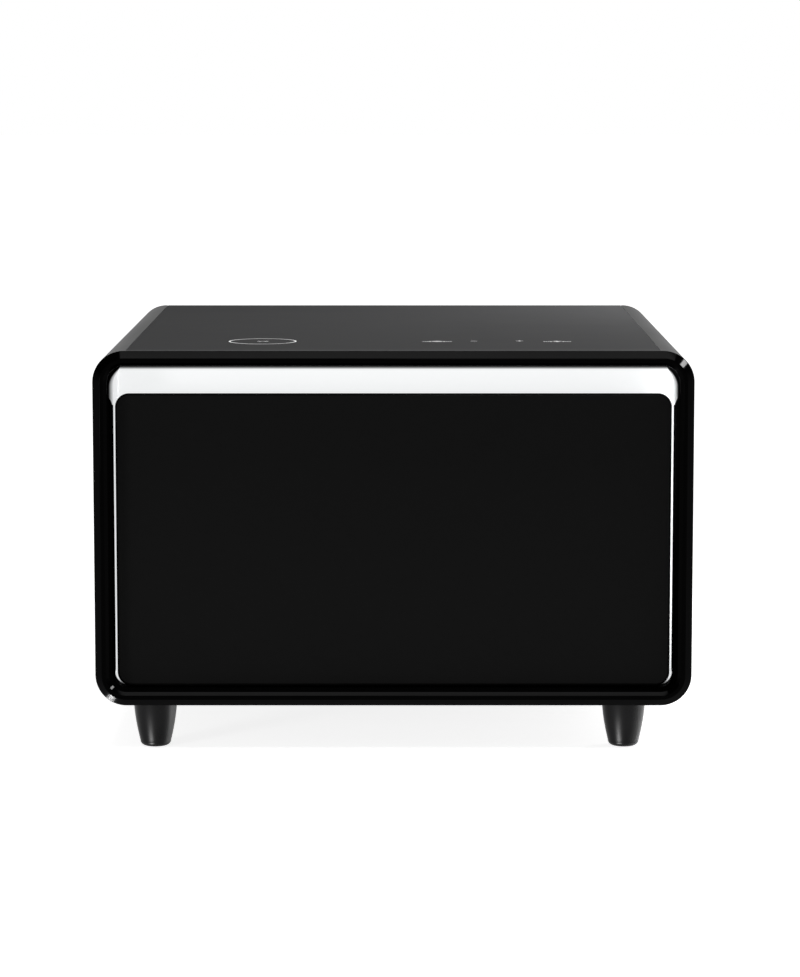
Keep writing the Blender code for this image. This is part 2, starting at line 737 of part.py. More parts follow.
def make_back(cabinet):
    """Make the rear panel, its screws, the vent grille and the power inlet."""
    panel = [upright(body_outline(SHEET + GAP, PANEL_TOP), depth) for depth in (PANEL_FRONT, PANEL_BACK)]
    panel = add_piece("rear_panel", loft(panel), "shell_black", cabinet)
    near, far = FRONT + PANEL_FRONT, FRONT + PANEL_BACK
    vent_z = BASE_TOP + VENT_RISE + VENT_HEIGHT / 2
    inlet_z = BOTTOM + INLET_RISE + INLET_HEIGHT / 2
    cuts = facing_box(VENT_X, vent_z, VENT_WIDTH, VENT_HEIGHT, near - OVERRUN, far + OVERRUN)
    cuts = facing_box(INLET_X, inlet_z, INLET_WIDTH, INLET_HEIGHT, near - OVERRUN, far + OVERRUN, cuts)
    for x, z in screw_places():
        hole = rod(SCREW_RADIUS + GAP, -OVERRUN, OVERRUN, SMALL_ROUND_STEPS, axis="Y")
        add_mesh(cuts, hole, (x, far, z))
    combine(panel, cuts, "DIFFERENCE")

    lip = 2 * VENT_LIP
    lip_back = far + GAP + VENT_LIP_THICKNESS
    grille = facing_box(VENT_X, vent_z, VENT_WIDTH + lip, VENT_HEIGHT + lip, far + GAP, lip_back)
    grille = add_piece("rear_vent_grille", grille, "black_plastic", cabinet)
    plug = (VENT_WIDTH - 2 * GAP, VENT_HEIGHT - 2 * GAP)
    mid_lip = far + GAP + VENT_LIP_THICKNESS / 2
    combine(grille, facing_box(VENT_X, vent_z, *plug, mid_lip - VENT_BODY, mid_lip), "UNION")
    slots = bmesh.new()
    slot_width = (VENT_WIDTH - VENT_BAR * (VENT_COLUMNS + 1)) / VENT_COLUMNS
    row_pitch = (VENT_HEIGHT - VENT_BAR) / VENT_ROWS
    for column in range(VENT_COLUMNS):
        x = VENT_X - VENT_WIDTH / 2 + VENT_BAR + slot_width / 2 + column * (slot_width + VENT_BAR)
        for row in range(VENT_ROWS):
            z = vent_z - VENT_HEIGHT / 2 + VENT_BAR / 2 + row_pitch * (row + 1 / 2)
            facing_box(x, z, slot_width, VENT_SLOT, mid_lip - VENT_BODY - OVERRUN, far + OVERRUN, slots)
    combine(grille, slots, "DIFFERENCE")

    lip = 2 * INLET_LIP
    inlet = facing_box(INLET_X, inlet_z, INLET_WIDTH + lip, INLET_HEIGHT + lip, far + GAP, lip_back)
    inlet = add_piece("power_inlet", inlet, "black_plastic", cabinet)
    body = (INLET_WIDTH - 2 * GAP, INLET_HEIGHT - 2 * GAP)
    combine(inlet, facing_box(INLET_X, inlet_z, *body, mid_lip - INLET_DEPTH, mid_lip), "UNION")
    mouth = [size - 2 * INLET_WALL for size in body]
    floor = mid_lip - INLET_MOUTH_DEPTH
    combine(inlet, facing_box(INLET_X, inlet_z, *mouth, floor, far + OVERRUN), "DIFFERENCE")
    pins = bmesh.new()
    for side in (-1, 0, 1):
        place = (INLET_X + side * INLET_PIN_SPACING, inlet_z)
        size = (INLET_PIN_WIDTH, INLET_PIN_HEIGHT)
        facing_box(*place, *size, floor - INLET_WALL / 2, floor + INLET_PIN_LENGTH, pins)
    combine(inlet, pins, "UNION")

    screw = turned(
        [
            (SCREW_RADIUS, -SCREW_LENGTH),
            (SCREW_RADIUS, 0.0),
            (SCREW_HEAD_RADIUS, 0.0),
            (SCREW_HEAD_RADIUS, SCREW_HEAD_HEIGHT / 2),
            (SCREW_HEAD_RADIUS / 2, SCREW_HEAD_HEIGHT),
        ],
        SMALL_ROUND_STEPS,
        axis="Y",
    )
    places = [(x, far + GAP, z) for x, z in screw_places()]
    add_repeats("rear_screw", screw, "zinc_steel", cabinet, places)


def facing_box(x, z, width, height, near, far, bm=None):
    """Return a box that faces the back, about a centre in its plane."""
    low = (x - width / 2, near, z - height / 2)
    return box(low, (x + width / 2, far, z + height / 2), bm)


def add_repeats(name, bm, finish, group, places, labels=None):
    """Place the same mesh at each place, as pieces of their own."""
    bmesh.ops.recalc_face_normals(bm, faces=bm.faces)
    mesh = bpy.data.meshes.new(name)
    bm.to_mesh(mesh)
    bm.free()
    labels = labels or [str(i + 1) for i in range(len(places))]
    for label, place in zip(labels, places):
        add_copy(f"{name}_{label}", mesh, finish, group, place)


def make_feet(cabinet):
    """Make the four turned feet and the rubber pads let into them."""
    top = FOOT_HEIGHT - GAP
    length = top - PAD_STAND
    profile = []
    for ring in range(FOOT_RINGS + 1):
        along = (length - FOOT_EDGE) * ring / FOOT_RINGS
        share = 1.0 - FOOT_TAPER_SHARE * (along / length) ** FOOT_TAPER_POWER
        profile.append((FOOT_RADIUS * share, top - along))
    side = profile[-1][0]
    for angle in (math.radians(30.0), math.radians(60.0), math.radians(90.0)):
        radius = side - FOOT_EDGE * (1.0 - math.cos(angle))
        profile.append((radius, PAD_STAND + FOOT_EDGE * (1.0 - math.sin(angle))))
    recess = PAD_THICKNESS + GAP
    profile += [(PAD_RADIUS + GAP, PAD_STAND), (PAD_RADIUS + GAP, recess), (0.0, recess)]
    foot = turned([(0.0, top)] + profile, FOOT_STEPS)
    left = -HALF_WIDTH + FOOT_INSET_LEFT
    right = HALF_WIDTH - FOOT_INSET_RIGHT
    front = FRONT + FOOT_SETBACK
    places = [(left, front, 0.0), (right, front, 0.0), (left, -front, 0.0), (right, -front, 0.0)]
    labels = ("front_left", "front_right", "rear_left", "rear_right")
    add_repeats("foot", foot, "satin_black", cabinet, places, labels)
    pad = rod(PAD_RADIUS, 0.0, PAD_THICKNESS, FOOT_STEPS)
    add_repeats("foot_pad", pad, "rubber", cabinet, places, labels)


def make_compressor(cabinet):
    """Make the base plate, the compressor and the rubber mounts it stands on."""
    side = HALF_WIDTH - CORNER_RADIUS
    near = FRONT + FOAM_BACK + GAP
    far = FRONT + FLANGE_FRONT - GAP
    add_piece("base_plate", box((-side, near, BASE_LOW), (side, far, BASE_TOP)), "zinc_steel", cabinet)

    centre = (COMPRESSOR_X, FRONT + COMPRESSOR_DEPTH)
    foot_top = COMPRESSOR_LOW + COMPRESSOR_FOOT
    seam = foot_top + COMPRESSOR_HEIGHT / 2
    sunk = COMPRESSOR_LOW + COMPRESSOR_FOOT / 2
    profile = [(0.0, sunk), (COMPRESSOR_RADIUS / 2, sunk)]
    profile += dome_points(foot_top, 1.0)
    profile += [
        (COMPRESSOR_RADIUS, seam - COMPRESSOR_SEAM_HEIGHT),
        (COMPRESSOR_RADIUS + COMPRESSOR_SEAM, seam - COMPRESSOR_SEAM_HEIGHT / 2),
        (COMPRESSOR_RADIUS + COMPRESSOR_SEAM, seam + COMPRESSOR_SEAM_HEIGHT / 2),
        (COMPRESSOR_RADIUS, seam + COMPRESSOR_SEAM_HEIGHT),
    ]
    profile += reversed(dome_points(COMPRESSOR_TOP, -1.0))
    profile.append((0.0, COMPRESSOR_TOP))
    can = moved(turned(profile, ROUND_STEPS), (*centre, 0.0))
    compressor = add_piece("compressor", can, "satin_black", cabinet)
    half = (COMPRESSOR_FOOT_WIDTH / 2, COMPRESSOR_FOOT_LENGTH / 2)
    combine(compressor, plate_box(centre, half, COMPRESSOR_LOW, foot_top), "UNION")
    for place, axis in compressor_ports():
        reach = (-COMPRESSOR_RADIUS / 2, 0.0)
        stub = rod(PORT_RADIUS, *reach, SMALL_ROUND_STEPS)
        if axis == "X":
            rotated(stub, math.radians(90.0), "Y")
        combine(compressor, moved(stub, place), "UNION")

    mount = turned(
        [
            (MOUNT_RADIUS, 0.0),
            (MOUNT_RADIUS * MOUNT_WAIST_SHARE, MOUNT_HEIGHT / 2),
            (MOUNT_RADIUS, MOUNT_HEIGHT),
        ],
        SMALL_ROUND_STEPS,
    )
    places = []
    for across in (-1, 1):
        for along in (-1, 1):
            x = centre[0] + across * (half[0] - MOUNT_EDGE)
            y = centre[1] + along * (half[1] - MOUNT_EDGE)
            places.append((x, y, BASE_TOP + GAP))
    add_repeats("compressor_mount", mount, "rubber", cabinet, places)


def dome_points(level, direction):
    """Return the rounded shoulder of the can, from its end to its side."""
    points = []
    for step in range(1, DOME_STEPS + 1):
        angle = math.radians(90.0 * step / DOME_STEPS)
        radius = COMPRESSOR_RADIUS - COMPRESSOR_DOME * (1.0 - math.sin(angle))
        points.append((radius, level + direction * COMPRESSOR_DOME * (1.0 - math.cos(angle))))
    return points


def compressor_ports():
    """Return the outer end of each port of the compressor and the axis it points along."""
    centre_y = FRONT + COMPRESSOR_DEPTH
    side = COMPRESSOR_X + COMPRESSOR_RADIUS + PORT_LENGTH
    high = COMPRESSOR_TOP - PORT_DROP
    return (
        ((side, centre_y, high), "X"),
        ((COMPRESSOR_X, centre_y, COMPRESSOR_TOP + PORT_LENGTH), "Z"),
    )


def make_cooling(cabinet, fan_group):
    """Make the condenser, the fan, the dryer and the pipes between them."""
    near = FRONT + CONDENSER_FRONT
    add_piece("condenser", condenser(near), "aluminium", cabinet)
    make_fan(cabinet, fan_group)

    dryer_y = FRONT + FOAM_BACK + GAP + DRYER_RADIUS
    dryer_low = BASE_TOP + DRYER_RISE
    profile = [
        (DRYER_NECK, 0.0),
        (DRYER_NECK, DRYER_NECK_LENGTH / 2),
        (DRYER_RADIUS, DRYER_NECK_LENGTH),
        (DRYER_RADIUS, DRYER_LENGTH - DRYER_NECK_LENGTH),
        (DRYER_NECK, DRYER_LENGTH - DRYER_NECK_LENGTH / 2),
        (DRYER_NECK, DRYER_LENGTH),
    ]
    dryer = moved(turned(profile, SMALL_ROUND_STEPS), (DRYER_X, dryer_y, dryer_low))
    add_piece("filter_dryer", dryer, "copper", cabinet)

    side_port, top_port = (place for place, axis in compressor_ports())
    condenser_y = near + CONDENSER_SPINE + PIPE_RADIUS
    high = BOTTOM + DISCHARGE_RISE
    entry_z = BASE_TOP + CONDENSER_HEIGHT - PIPE_BEND
    rise_x = side_port[0] + GAP + 2 * PIPE_BEND
    fall_x = CONDENSER_LEFT - GAP - 2 * PIPE_BEND
    discharge = [
        (side_port[0] + GAP, side_port[1], side_port[2]),
        (rise_x, side_port[1], side_port[2]),
        (rise_x, side_port[1], high),
        (fall_x, side_port[1], high),
        (fall_x, side_port[1], entry_z),
        (fall_x, condenser_y, entry_z),
        (CONDENSER_LEFT - GAP, condenser_y, entry_z),
    ]
    add_pipe("discharge_pipe", discharge, cabinet)
    exit_z = BASE_TOP + LIQUID_RISE
    liquid = [
        (CONDENSER_LEFT - GAP, condenser_y, exit_z),
        (DRYER_X, condenser_y, exit_z),
        (DRYER_X, dryer_y, exit_z),
        (DRYER_X, dryer_y, dryer_low - GAP),
    ]
    add_pipe("liquid_pipe", liquid, cabinet)
    suction_z = BOTTOM + SUCTION_RISE
    standoff = FRONT + FOAM_BACK + SUCTION_STANDOFF
    suction = [
        (SUCTION_X, FRONT + FOAM_BACK + GAP, suction_z),
        (SUCTION_X, standoff, suction_z),
        (COMPRESSOR_X, standoff, suction_z),
        (COMPRESSOR_X, top_port[1], suction_z),
        (COMPRESSOR_X, top_port[1], top_port[2] + GAP),
    ]
    add_pipe("suction_pipe", suction, cabinet)

    board_y = FRONT + FOAM_BACK + GAP
    board_z = BASE_TOP + BOARD_RISE + BOARD_HEIGHT / 2
    block_y = board_y + BOARD_THICKNESS
    board = facing_box(BOARD_X, board_z, BOARD_WIDTH, BOARD_HEIGHT, board_y, block_y)
    board = add_piece("control_board", board, "board_green", cabinet)
    block = (BOARD_WIDTH * BOARD_BLOCK_SHARE, BOARD_HEIGHT * BOARD_BLOCK_SHARE)
    far = block_y + BOARD_BLOCK_HEIGHT
    for across, along in ((-1, -1), (1, 1), (-1, 1)):
        x = BOARD_X + across * BOARD_WIDTH / 4
        z = board_z + along * BOARD_HEIGHT / 4
        combine(board, facing_box(x, z, *block, block_y - BOARD_THICKNESS / 2, far), "UNION")


def condenser(near):
    """Return the condenser: a header with upright fins, standing on the base plate."""
    half = CONDENSER_WIDTH / 2
    pitch = (CONDENSER_WIDTH - CONDENSER_FIN) / (CONDENSER_FINS - 1)
    spine = near + CONDENSER_SPINE + 2 * PIPE_RADIUS
    points = [(VENT_X - half, near), (VENT_X + half, near)]
    for fin in range(CONDENSER_FINS):
        right = VENT_X + half - pitch * fin
        left = right - CONDENSER_FIN
        if fin > 0:
            points.append((right, spine))
        points += [(right, near + CONDENSER_DEPTH), (left, near + CONDENSER_DEPTH)]
        if fin < CONDENSER_FINS - 1:
            points.append((left, spine))
    low = BASE_TOP + GAP
    return loft([flat(points, low), flat(points, low + CONDENSER_HEIGHT)])


def make_fan(cabinet, fan_group):
    """Make the fan's square housing, with struts to a motor cup, and the rotor in it."""
    near = FRONT + FAN_FRONT
    far = near + FAN_DEPTH
    middle = (VENT_X, 0.0, FAN_Z)
    housing = facing_box(VENT_X, FAN_Z, FAN_SIZE, FAN_SIZE, near, far)
    housing = add_piece("fan_housing", housing, "black_plastic", cabinet)
    bore = FAN_SIZE / 2 - FAN_WALL
    hole = rod(bore, near - OVERRUN, far + OVERRUN, ROUND_STEPS, axis="Y")
    combine(housing, moved(hole, middle), "DIFFERENCE")
    cup_front = far - FAN_CUP_DEPTH
    strut_back = far - FAN_CUP_STEP
    struts = facing_box(VENT_X, FAN_Z, 2 * bore + FAN_WALL, FAN_STRUT, cup_front, strut_back)
    combine(housing, struts, "UNION")
    cup = rod(FAN_HUB_RADIUS, cup_front - FAN_CUP_STEP, far, ROUND_STEPS, axis="Y")
    combine(housing, moved(cup, middle), "UNION")

    hub_back = cup_front - FAN_CUP_STEP - GAP
    hub_front = near + FAN_FRONT_GAP
    hub = rod(FAN_HUB_RADIUS, hub_front, hub_back, ROUND_STEPS, axis="Y")
    rotor = add_piece("fan_rotor", moved(hub, middle), "black_plastic", fan_group)
    span = (FAN_HUB_RADIUS / 2, bore - FAN_TIP_GAP)
    blade_y = (hub_front + hub_back) / 2
    for blade in range(FAN_BLADES):
        turn = 2.0 * math.pi * blade / FAN_BLADES
        combine(rotor, fan_blade(span, blade_y, turn), "UNION")


def fan_blade(span, blade_y, turn):
    """Return one pitched blade, turned about the fan's axis."""
    half_sheet = FAN_BLADE_SHEET / 2
    half_length = FAN_BLADE_LENGTH / 2
    bm = box((-half_length, -half_sheet, span[0]), (half_length, half_sheet, span[1]))
    rotated(bm, math.radians(FAN_BLADE_PITCH), "Z")
    rotated(bm, turn, "Y")
    return moved(bm, (VENT_X, blade_y, FAN_Z))


def add_pipe(name, corners, group):
    """Run a copper pipe through the corners, each one bent on an arc."""
    curve = bpy.data.curves.new(name, "CURVE")
    curve.dimensions = "3D"
    curve.bevel_depth = PIPE_RADIUS
    curve.bevel_resolution = 2
    curve.use_fill_caps = True
    points = bent_route([Vector(corner) for corner in corners])
    spline = curve.splines.new("POLY")
    spline.points.add(len(points) - 1)
    for spot, point in zip(spline.points, points):
        spot.co = (*point, 1.0)
    curve.materials.append(make_finish("copper"))
    pipe = bpy.data.objects.new(name, curve)
    pipe.parent = group
    pipe.location = -group.location
    bpy.context.scene.collection.objects.link(pipe)


def bent_route(corners):
    """Return the points of a route whose inner corners are bent on arcs."""
    points = [corners[0]]
    for before, corner, after in zip(corners, corners[1:], corners[2:]):
        into = (corner - before).normalized()
        out = (after - corner).normalized()
        reach = min(PIPE_BEND, (corner - before).length / 2, (after - corner).length / 2)
        centre = corner - into * reach + out * reach
        for step in range(PIPE_BEND_STEPS + 1):
            angle = math.pi / 2 * step / PIPE_BEND_STEPS
            points.append(centre - out * reach * math.cos(angle) + into * reach * math.sin(angle))
    points.append(corners[-1])
    return points


def make_drawer_front(drawer):
    """Make the drawer's glass front, its carrier, the insulated core, the gasket and the panel."""
    sections = [
        upright(door_outline(DOOR_GLASS_EDGE), DOOR_SETBACK),
        upright(door_outline(), DOOR_SETBACK + DOOR_GLASS_EDGE),
        upright(door_outline(), DOOR_SETBACK + DOOR_GLASS),
    ]
    add_piece("drawer_front_glass", loft(sections), "smoked_glass", drawer)
    carrier_front = DOOR_SETBACK + DOOR_GLASS + GAP
    sections = [upright(door_outline(), carrier_front), upright(door_outline(fall=LIP_FALL), LIP_BACK)]
    add_piece("drawer_front_carrier", loft(sections), "gloss_black", drawer)

    core = opening_outline(OPENING, -CORE_MARGIN, CORE_RADIUS)
    sections = [upright(core, depth) for depth in (LIP_BACK + GAP, CORE_BACK)]
    add_piece("drawer_front_core", loft(sections), "liner_white", drawer)

    reach = CORE_MARGIN + GASKET_MARGIN
    outer = opening_outline(OPENING, -reach, CORE_RADIUS)
    inner = opening_outline(OPENING, -reach - GASKET_WIDTH, CORE_RADIUS)
    depths = (CORE_BACK + GAP, TUNNEL_DEPTH - GAP)
    sections = [upright(outer, depth) for depth in depths]
    sections += [upright(inner, depth) for depth in reversed(depths)]
    add_piece("drawer_gasket", loft(sections, closed=True), "rubber", drawer)

    panel = opening_outline(CAVITY, -INNER_PANEL_MARGIN, INNER_PANEL_RADIUS)
    sections = [upright(panel, depth) for depth in (CORE_BACK + GAP, INNER_PANEL_BACK)]
    add_piece("drawer_inner_panel", loft(sections), "liner_white", drawer)


def make_bin(drawer):
    """Make the open bin that hangs behind the drawer's front."""
    front, back = FRONT + BIN_FRONT, FRONT + BIN_BACK
    outer = rounded_outline(BIN_HALF, front, back, BIN_RADIUS)
    inner_half, inner_radius = BIN_HALF - BIN_WALL, BIN_RADIUS - BIN_WALL
    inner = rounded_outline(inner_half, front + BIN_WALL, back - BIN_WALL, inner_radius)
    rim = rounded_outline(BIN_HALF + BIN_RIM, front, back + BIN_RIM, BIN_RADIUS)
    sections = [
        flat(inner, BIN_LOW + BIN_WALL),
        flat(inner, BIN_TOP),
        flat(rim, BIN_TOP),
        flat(rim, BIN_TOP - BIN_RIM_HEIGHT),
        flat(outer, BIN_TOP - BIN_RIM_HEIGHT),
        flat(outer, BIN_LOW),
    ]
    add_piece("drawer_bin", loft(sections), "bin_grey", drawer)


def make_runners(cabinet, middle, drawer):
    """Make the three nested members of the runner on each side of the drawer."""
    play = RUNNER_PLAY + RUNNER_SHEET
    members = (("cabinet_rail", cabinet, 0), ("middle_rail", middle, 1), ("drawer_rail", drawer, 2))
    for name, group, depth_in_nest in members:
        web_share, tip_share = RUNNER_SHARES[name]
        facing = 1.0 if tip_share > web_share else -1.0
        web = RUNNER_SPACE * web_share + facing * GAP
        inner = web + facing * RUNNER_SHEET
        tip = RUNNER_SPACE * tip_share
        reach = RUNNER_HEIGHT / 2 - play * depth_in_nest
        outline = [
            (web, -reach),
            (tip, -reach),
            (tip, -reach + RUNNER_SHEET),
            (inner, -reach + RUNNER_SHEET),
            (inner, reach - RUNNER_SHEET),
            (tip, reach - RUNNER_SHEET),
            (tip, reach),
            (web, reach),
        ]
        for label, side in (("left", -1), ("right", 1)):
            placed = [(side * (CAVITY["half"] - x), RUNNER_Z + z) for x, z in outline]
            rail = loft([upright(placed, depth) for depth in (RUNNER_FRONT, RUNNER_BACK)])
            add_piece(f"{name}_{label}", rail, "zinc_steel", group)


def main():
    """Build the table."""
    clear_scene()
    cabinet = make_group("cabinet")
    drawer = make_group("drawer", (0.0, FRONT + DOOR_SETBACK, (BOTTOM + TOP) / 2))
    middle = make_group("middle_rails", (0.0, FRONT + RUNNER_FRONT, RUNNER_Z))
    fan_group = make_group("fan", (VENT_X, FRONT + FAN_FRONT, FAN_Z))
    make_frame_and_shell(cabinet)
    make_top(cabinet)
    make_surround(cabinet)
    make_cavity(cabinet)
    make_back(cabinet)
    make_feet(cabinet)
    make_compressor(cabinet)
    make_cooling(cabinet, fan_group)
    make_drawer_front(drawer)
    make_bin(drawer)
    make_runners(cabinet, middle, drawer)


main()
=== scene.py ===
"""Looks of a smart side table with a fridge drawer.

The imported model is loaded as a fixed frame. Each sub-assembly below is a class that holds its
sizes, builds the pieces that deserve a finer mesh than the solids have, and dresses what stays.
Metres, +Z up, front towards -Y, the origin on the floor under the middle of the table.
"""

from __future__ import annotations

import json
import logging
import math
from dataclasses import dataclass
from enum import Enum
from typing import Iterable, Sequence

import bmesh
import bpy
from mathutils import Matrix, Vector
from mathutils.geometry import tessellate_polygon

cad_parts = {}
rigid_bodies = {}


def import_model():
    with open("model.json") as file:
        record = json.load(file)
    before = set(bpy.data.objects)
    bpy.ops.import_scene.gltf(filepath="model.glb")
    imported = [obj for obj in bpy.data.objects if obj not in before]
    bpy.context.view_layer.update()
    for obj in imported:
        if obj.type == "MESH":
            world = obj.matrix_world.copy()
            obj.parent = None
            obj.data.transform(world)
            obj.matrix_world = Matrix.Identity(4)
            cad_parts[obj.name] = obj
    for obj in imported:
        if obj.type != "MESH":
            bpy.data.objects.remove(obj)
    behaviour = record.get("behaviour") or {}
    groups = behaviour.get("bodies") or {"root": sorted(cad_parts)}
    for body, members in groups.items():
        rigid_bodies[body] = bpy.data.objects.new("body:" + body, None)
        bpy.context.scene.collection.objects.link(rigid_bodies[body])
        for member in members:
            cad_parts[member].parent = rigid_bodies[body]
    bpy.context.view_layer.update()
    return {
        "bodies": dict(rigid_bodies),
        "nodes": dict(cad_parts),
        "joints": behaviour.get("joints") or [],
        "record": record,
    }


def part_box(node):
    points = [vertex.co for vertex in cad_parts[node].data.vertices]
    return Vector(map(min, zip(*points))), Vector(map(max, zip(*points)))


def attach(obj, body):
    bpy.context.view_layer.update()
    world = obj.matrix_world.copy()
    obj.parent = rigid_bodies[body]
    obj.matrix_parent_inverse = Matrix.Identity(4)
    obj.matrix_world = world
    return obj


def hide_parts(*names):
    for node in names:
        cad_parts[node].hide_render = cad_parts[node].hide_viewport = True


LOG = logging.getLogger("side_table")

Colour = tuple[float, float, float]
Point = tuple[float, float]
Place = tuple[float, float, float]
BarRow = tuple[float, float, float, float]
Outline = list[Point]
Mesh = bmesh.types.BMesh
Corner = bmesh.types.BMVert
Node = bpy.types.Node
Socket = bpy.types.NodeSocket

BODY_WIDTH = 0.650
BODY_DEPTH = 0.702
BOTTOM = 0.0544
TOP = 0.4424
HALF = BODY_WIDTH / 2
FRONT = -BODY_DEPTH / 2
CORNER_RADIUS = 0.034
GAP = 0.0003
SHEET = 0.0012
FINE_STEPS = 24
EASE_SHARE = 0.3
WHITE = (1.0, 1.0, 1.0, 1.0)
BLACK = (0.0, 0.0, 0.0, 1.0)
FRONT_FEET = ("turned_foot_front_left", "turned_foot_front_right")


class Surface(Enum):
    """How a finish breaks up at close range."""

    GRAIN = "grain"
    BRUSHED = "brushed"
    STIPPLED = "stippled"
    CELLS = "cells"


class Wiring:
    """Adds nodes to one node tree and joins them.

    A Mix node has sockets for every kind of value. The mix inputs are its share and its two
    colours, and the mix output is the blended colour.
    """

    mix_inputs = (0, 6, 7)
    mix_output = 2

    def __init__(self, tree: bpy.types.NodeTree) -> None:
        """Keep the tree that the nodes go to."""
        self.tree = tree

    def node(self, kind: str, settings: dict[str, object] | None = None, **values: object) -> Node:
        """Add a node.

        Args:
            kind: the node's type, such as ShaderNodeMath.
            settings: attributes to set on the node.
            **values: input values or sockets to link, by socket name with _ for a space.

        Returns:
            The new node.
        """
        made = self.tree.nodes.new(kind)
        for key, value in (settings or {}).items():
            setattr(made, key, value)
        for key, value in values.items():
            self.feed(made, key.replace("_", " "), value)
        return made

    def feed(self, node: Node, name: str | int, value: object) -> None:
        """Link a socket to an input of a node, or set the input's value.

        Args:
            node: the node that is fed.
            name: the input's name or index.
            value: an output socket, a number, or a colour or vector.
        """
        if isinstance(value, Socket):
            self.tree.links.new(value, node.inputs[name])
        else:
            node.inputs[name].default_value = value

    def feed_all(self, node: Node, values: Iterable[tuple[str | int, object]]) -> None:
        """Feed several inputs of a node, each given as its name or index and its value."""
        for name, value in values:
            self.feed(node, name, value)

    def maths(
        self, operation: str, first: object, second: object = 0.0, clamp: bool = False
    ) -> Socket:
        """Add a Math node.

        Args:
            operation: the Math node's operation.
            first: the first number or socket.
            second: the second number or socket.
            clamp: whether the result is kept from 0 to 1.

        Returns:
            The result's socket.
        """
        made = self.node("ShaderNodeMath", {"operation": operation, "use_clamp": clamp})
        self.feed_all(made, enumerate((first, second)))
        return made.outputs[0]

    def blend(self, share: object, first: object, second: object) -> Socket:
        """Blend two colours.

        Args:
            share: how much of the second colour shows.
            first: the first colour or socket.
            second: the second colour or socket.

        Returns:
            The blended colour's socket.
        """
        made = self.node("ShaderNodeMix", {"data_type": "RGBA"})
        self.feed_all(made, zip(self.mix_inputs, (share, first, second)))
        return made.outputs[self.mix_output]

    def ramp(self, value: object, span: Point, reach: Point = (0.0, 1.0)) -> Socket:
        """Map a value from one range to another, held at both ends.

        Args:
            value: the value's socket.
            span: the lower and upper end of its range.
            reach: the results at these ends.

        Returns:
            The result's socket.
        """
        settings = {"clamp": True, "interpolation_type": "SMOOTHSTEP"}
        made = self.node("ShaderNodeMapRange", settings)
        self.feed_all(made, enumerate((value, *span, *reach)))
        return made.outputs[0]

    def place(self, stretch: Place = (1.0, 1.0, 1.0)) -> Socket:
        """Return the object's own coordinates, stretched along its axes."""
        coordinates = self.node("ShaderNodeTexCoord").outputs["Object"]
        return self.node("ShaderNodeMapping", Vector=coordinates, Scale=stretch).outputs[0]

    def axes(self) -> bpy.types.bpy_prop_collection:
        """Return the sockets X, Y and Z of the object's own coordinates."""
        place = self.node("ShaderNodeTexCoord").outputs["Object"]
        return self.node("ShaderNodeSeparateXYZ", Vector=place).outputs

    def noise(self, vector: Socket, scale: object, detail: float, **values: object) -> Socket:
        """Add a Noise Texture, with its other inputs by name, and return its value's socket."""
        inputs = {"Vector": vector, "Scale": scale, "Detail": detail, **values}
        return self.node("ShaderNodeTexNoise", **inputs).outputs["Fac"]

    def group(self, tree: bpy.types.NodeTree, **values: object) -> Node:
        """Place a shared group, with its inputs by name and _ for a space."""
        return self.node("ShaderNodeGroup", {"node_tree": tree}, **values)


